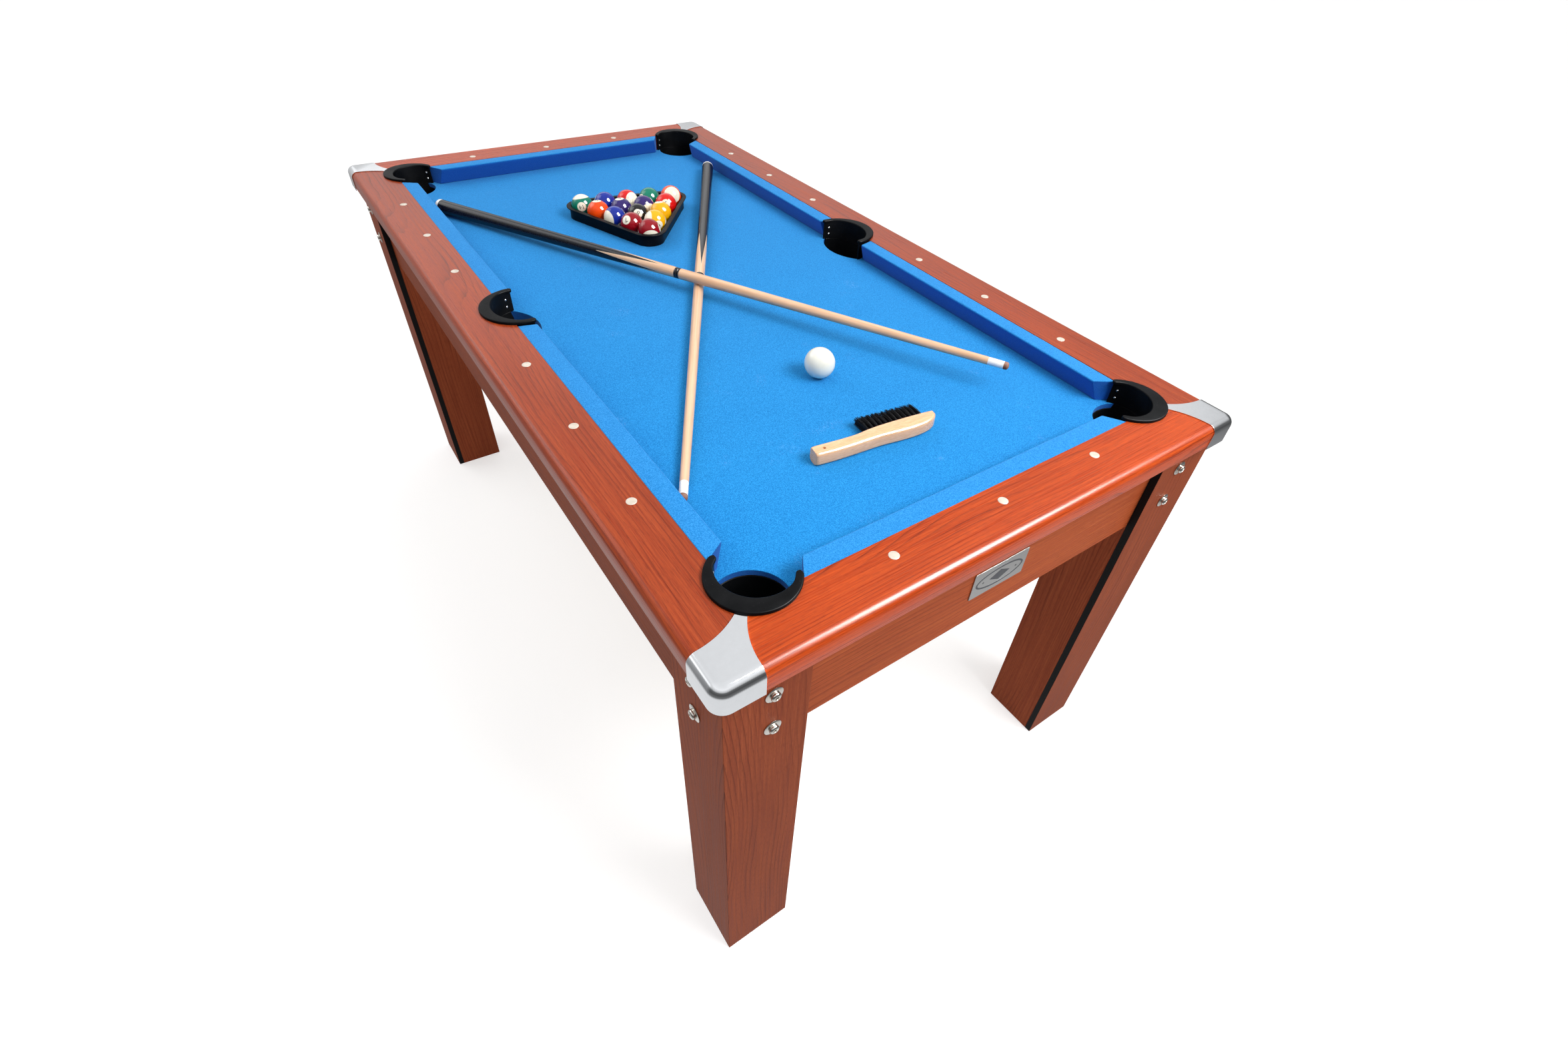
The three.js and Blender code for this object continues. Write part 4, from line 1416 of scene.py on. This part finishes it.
def cue_radius(along):
    """A cue's radius, in millimetres, at a distance from its butt."""
    if along < CUE["joint_at"]:
        return CUE["butt"] + (CUE["joint"] - CUE["butt"]) * along / CUE["joint_at"]
    share = (along - CUE["joint_at"]) / (CUE["length"] - CUE["joint_at"])
    return CUE["joint"] + (CUE["tip"] - CUE["joint"]) * share


def turned_piece(name, body, heights, material, slot, nodes, place):
    """A length of a cue turned from (distance, radius change) pairs, with marks for its finish."""
    profile = [((cue_radius(at) + change) * MM, at * MM) for at, change in heights]
    shell = lathe(profile, *place, CUE_SEGMENTS)
    piece = new_piece(name, [shell], material, body, slot, nodes)
    around = turns(CUE_SEGMENTS)
    with_marks(piece, [polar(radius, turn, height) for radius, height in profile for turn in around])
    smooth(piece, 40)


def along_cue(start, end, steps=24, ease=0.4):
    """Even steps along a cue, with both ends eased by a small radius."""
    inner = [(start + ease + (end - start - 2 * ease) * i / steps, 0) for i in range(steps + 1)]
    return [(start, -ease), *inner, (end, -ease)]


def cue(name, wood, rubber, ivory, tip_leather):
    """One cue in five turned pieces. The joint at its collar parts its rear from its front."""
    joint = joint_named(f"{name}_screw")
    heading = Vector(joint["axis"]).normalized()
    place = (Vector(joint["pos_m"]) - heading * CUE["joint_at"] * MM, heading)
    end, front = CUE["length"], f"{name}_front"
    bumper = [(0, -5.5), (0.4, -3.4), (1.4, -1.6), (3.0, -0.6), (5, -0.2), (CUE["bumper"], -0.2)]
    rear = along_cue(CUE["bumper"] + 0.2, CUE["joint_at"])
    shaft = along_cue(CUE["joint_at"] + 0.3, FERRULE["start"])
    collar = along_cue(FERRULE["start"] + 0.1, FERRULE["leather"], 4, 0.2)
    dome = [(FERRULE["leather"] + 0.1, -0.1)]
    dome += [(end - 3.5, 0), (end - 1.8, -0.9), (end - 0.6, -2.6), (end, -4.8)]
    lengths = (
        ("bumper_rubber", name, bumper, rubber, "white_plastic", "bumper"),
        ("rear_wood", name, rear, wood, "cue_lacquer", "butt"),
        ("shaft_wood", front, shaft, wood, "cue_maple", "shaft"),
        ("ferrule_white", front, collar, ivory, "white_plastic", "ferrule"),
        ("tip_leather", front, dome, tip_leather, "cue_maple", "ferrule"),
    )
    for ending, body, heights, material, slot, node in lengths:
        turned_piece(f"{name}_{ending}", body, heights, material, slot, [f"{name}_{node}"], place)


def cues():
    wood = cue_wood()
    rubber = smooth_plastic("bumper_rubber", tone(236, 234, 228), tone(214, 210, 202), 0.5)
    ivory = smooth_plastic("ferrule_plastic", tone(246, 244, 240), tone(230, 226, 220), 0.25)
    tip_leather = leather()
    for name in ("lower_cue", "upper_cue"):
        cue(name, wood, rubber, ivory, tip_leather)


# ---- brush -----------------------------------------------------------------------------------

BRUSH = {
    "butt": (-139, -574),
    "angle": math.radians(-8),
    "length": 218,
    "handle_width": 23,
    "body_width": 32,
    "body_start": 92,
    "thickness": 22,
    "edge": 5,
    "hole": ((17, -0.5), 2.6),
    "grain": (2, 26),
    "bristles": {"start": 98, "end": 204, "length": 34, "thickness": 13},
}


def bezier(start, first, second, end, steps=16):
    points = []
    for i in range(steps):
        t = i / steps
        weights = ((1 - t) ** 3, 3 * t * (1 - t) ** 2, 3 * t * t * (1 - t), t**3)
        knots = (start, first, second, end)
        points.append(tuple(sum(w * knot[axis] for w, knot in zip(weights, knots)) for axis in (0, 1)))
    return points


def brush_outline():
    """The middle line of the handle's round edge, in plan, counter-clockwise from its butt."""
    inset = BRUSH["edge"]
    start = BRUSH["body_start"]
    lower = -BRUSH["handle_width"] / 2 + inset
    upper = BRUSH["handle_width"] / 2 - inset
    body = lower + BRUSH["body_width"] - 2 * inset
    end = BRUSH["length"] - inset
    outline = bezier((upper, lower), (start * 0.6, lower - 2), (start, lower + 5), (start + 30, lower + 4))
    outline += bezier((start + 30, lower + 4), (start + 60, lower + 3), (end - 8, lower), (end, body), 24)
    outline += bezier((end, body), (end - 40, body + 1), (start + 30, body), (start, upper + 4))
    outline += bezier((start, upper + 4), (start - 20, upper - 1), (start - 45, upper), (upper, upper))
    for i in range(18):
        turn = math.pi / 2 + math.pi * i / 18
        outline.append((upper + upper * math.cos(turn), upper * math.sin(turn)))
    return outline


def grown(outline, margin):
    """An outline pushed outwards along its normals."""
    made = []
    count = len(outline)
    for i, (x, y) in enumerate(outline):
        before, after = outline[i - 1], outline[(i + 1) % count]
        run = Vector((after[0] - before[0], after[1] - before[1]))
        outward = Vector((run.y, -run.x)).normalized()
        made.append((x + outward.x * margin, y + outward.y * margin))
    return made


def brush_matrix():
    x, y = BRUSH["butt"]
    return Matrix.Translation((x * MM, y * MM, 0)) @ Matrix.Rotation(BRUSH["angle"], 4, "Z")


def brush_handle(rest):
    edge, thickness = BRUSH["edge"], BRUSH["thickness"]
    backing = BRUSH["body_width"] - BRUSH["handle_width"] / 2 - 1
    outline = brush_outline()
    levels = []
    for i in range(7):
        angle = math.pi / 2 * i / 6
        levels.append((edge * math.sin(angle), edge * (1 - math.cos(angle))))
    levels += [(margin, thickness - height) for margin, height in reversed(levels)]
    rings = []
    for margin, height in levels:
        ring = []
        for x, y in grown(outline, margin):
            ring.append((max(x, 0.2) * MM, min(y, backing) * MM, rest + height * MM))
        rings.append(ring)
    wood = wood_of_maple("brush_wood", tone(232, 184, 140), tone(196, 132, 84), 0.25)
    piece = new_piece(
        "brush_handle_wood", [loft(rings)], wood, "brush", "brush_wood", ["brush_handle"]
    )
    (x, y), radius = BRUSH["hole"]
    drill = [(radius * MM, rest - 5 * MM), (radius * MM, rest + 40 * MM)]
    cut(piece, [lathe(drill, (x * MM, y * MM, 0), segments=28)])
    along, across = BRUSH["grain"]
    verts = piece.data.vertices
    with_marks(piece, [(v.co.x * along, v.co.y * across, v.co.z * across) for v in verts])
    smooth(piece, 40)
    piece.data.transform(brush_matrix())


BRISTLE = {"spread": 2.6, "root_spread": 1.5, "lean": -3.0, "sway": 1.2, "uneven": 2.5, "bow": 1.0}
BRISTLE_THICKNESS = (0.44, 0.42, 0.26)  # at the root, half way and at the tip
TUFTS = {"along": 12, "rows": (-0.34, 0.0, 0.34), "bristles": 44, "shift": 0.25}


def brush_bristles(rest):
    """Rows of tufts, each of many thin bristles that spread and lean towards the handle."""
    chance = random.Random(7)
    size = BRUSH["bristles"]
    root = BRUSH["body_width"] - BRUSH["handle_width"] / 2 - 1.5
    shells = []
    for column in range(TUFTS["along"]):
        for row in TUFTS["rows"]:
            shift = TUFTS["shift"] if row == 0 else 0
            share = (column + 0.5 + shift) / (TUFTS["along"] + TUFTS["shift"])
            x = size["start"] + (size["end"] - size["start"]) * share
            z = BRUSH["thickness"] / 2 + row * size["thickness"]
            for _ in range(TUFTS["bristles"]):
                shells.append(one_bristle(chance, x, root, z, size["length"], rest))
    piece = new_piece("brush_bristle_tufts", shells, bristle(), "brush", "bristle", ["brush_bristles"])
    smooth(piece, 60)
    piece.data.transform(brush_matrix())


def one_bristle(chance, x, root, z, length, rest):
    """A thin bent three-sided bristle, in millimetres until its points are made."""
    angle = chance.uniform(0, 2 * math.pi)
    out = math.sqrt(chance.random())
    start, spread = BRISTLE["root_spread"] * out, BRISTLE["spread"] * out
    foot = Vector((x + start * math.cos(angle), root, z + start * math.sin(angle)))
    lean = BRISTLE["lean"] + chance.uniform(-BRISTLE["sway"], BRISTLE["sway"])
    tall = length - 1 - chance.uniform(0, BRISTLE["uneven"])
    tip = foot + Vector((lean + spread * math.cos(angle), tall, 0.7 * spread * math.sin(angle)))
    bend = foot.lerp(tip, 0.5) + Vector((BRISTLE["bow"], 0, chance.uniform(-0.3, 0.3)))
    rings = []
    for spot, thick in zip((foot, bend, tip), BRISTLE_THICKNESS):
        spots = [spot + Vector((thick * math.cos(turn), 0, thick * math.sin(turn))) for turn in turns(3)]
        rings.append([(point.x * MM, point.y * MM, rest + point.z * MM) for point in spots])
    return loft(rings)


def brush():
    rest = low("brush_handle").z
    brush_handle(rest)
    brush_bristles(rest)


# ---- stage -----------------------------------------------------------------------------------


FLOOR_RADIUS = 60  # metres
WALL_RADIUS = 58


def floor_finish():
    f = Finish("studio_floor")
    clouds = f.noise(3, 2.0)
    colour = f.mix(f.spread(clouds, 0.3, 0.7, 0.0, 0.1), (0.52, 0.52, 0.52), (0.48, 0.48, 0.48))
    return f.done(
        Base_Color=colour,
        Roughness=0.9,
        Specular_IOR_Level=0.1,
        Emission_Color=(1.0, 1.0, 1.0),
        Emission_Strength=0.58,
    )


def stage_piece(name, shell, material, hidden_from):
    piece = new_object(name, new_mesh(name, shell))
    piece.data.materials.append(material)
    for ray in hidden_from:
        setattr(piece, f"visible_{ray}", False)


def floor():
    """A pale floor, and a wall far away all round that casts no light, shadow or reflection."""
    material = floor_finish()
    disc = prism([polar(FLOOR_RADIUS, turn) for turn in turns(64)], -0.02, -0.0005)
    stage_piece("floor", disc, material, ["glossy"])
    rings = [[polar(WALL_RADIUS, turn, z) for turn in turns(64)] for z in (-1, 60)]
    stage_piece("backdrop", loft(rings, caps=False), material, ["diffuse", "glossy", "shadow"])


def area_light(name, azimuth, elevation, distance, size, power, hidden_from=None):
    light = bpy.data.lights.new(name, "AREA")
    light.shape = "RECTANGLE"
    light.size, light.size_y = size
    light.energy = power
    lamp = new_object(name, light)
    heading = direction(azimuth, elevation)
    lamp.location = Vector((0, 0, 0.7)) + heading * distance
    lamp.rotation_euler = heading.to_track_quat("Z", "Y").to_euler()
    if hidden_from:
        setattr(lamp, f"visible_{hidden_from}", False)


# Levels of light from straight down, at 0, over the horizon, at 0.5, to straight up, at 1.
FRONT_SKY = (
    (0.0, 0.43), (0.13, 0.38), (0.27, 0.09), (0.5, 0.04),
    (0.66, 0.07), (0.74, 0.28), (0.88, 0.5), (1.0, 0.43),
)
BACK_SKY = (
    (0.0, 0.43), (0.13, 0.38), (0.3, 0.17), (0.5, 0.27),
    (0.63, 0.34), (0.69, 1.0), (0.74, 1.0), (0.8, 0.4), (1.0, 0.31),
)
BACK_STARTS, BACK_IS_FULL = 0.1, 0.9  # how far a direction points to the far end
SKY_STRENGTH = 2.0


def sky():
    """A bright studio: a bright band above the horizon behind the table, dark low in front."""
    world = bpy.data.worlds.new("studio")
    bpy.context.scene.world = world
    w = Nodes(world)
    _, to_far_end, upward = w.apart(w.add("ShaderNodeTexCoord", output="Generated"))
    height = w.spread(upward, -1, 1)
    inputs = {0: to_far_end, 1: BACK_STARTS, 2: BACK_IS_FULL}
    behind = w.add("ShaderNodeMapRange", inputs, interpolation_type="SMOOTHSTEP")
    background = w.tree.nodes["Background"]
    w.feed(background.inputs["Color"], w.mix(behind, w.ramp(height, FRONT_SKY), w.ramp(height, BACK_SKY)))
    w.feed(background.inputs["Strength"], SKY_STRENGTH)


CAMERA = {"spot": (-0.645, -1.203, 1.417), "azimuth": 52.472, "elevation": -43.087, "roll": 4.094}


def camera():
    """A wide camera above the near left corner, tilted down and rolled a little."""
    data = bpy.data.cameras.new("camera")
    data.sensor_width = 36
    data.lens = 16.61
    data.shift_x = -0.0074
    data.shift_y = -0.0026
    data.clip_end = 200
    holder = new_object("camera", data)
    forward = direction(CAMERA["azimuth"], CAMERA["elevation"])
    level = forward.cross(Vector((0, 0, 1))).normalized()
    facing = Matrix((level, level.cross(forward), -forward)).transposed().to_4x4()
    roll = Matrix.Rotation(math.radians(CAMERA["roll"]), 4, "Z")
    holder.matrix_world = Matrix.Translation(CAMERA["spot"]) @ facing @ roll
    bpy.context.scene.camera = holder


def stage():
    floor()
    sky()
    area_light("key", -68, 42, 3.2, (1.8, 1.1), 96, "glossy")
    area_light("window", -50, 47, 3.2, (1.4, 1.7), 620, "diffuse")
    area_light("fill", 125, 40, 3.5, (1.8, 1.8), 26)
    camera()
    view = bpy.context.scene.view_settings
    view.view_transform = "Standard"
    view.look = "None"


# ---- the whole table -------------------------------------------------------------------------


stage()
rails()
pockets()
bed_cloth()
cushions()
cabinet()
legs()
bolts()
corner_caps()
sights()
nameplate()
balls()
triangle_rack()
cues()
brush()
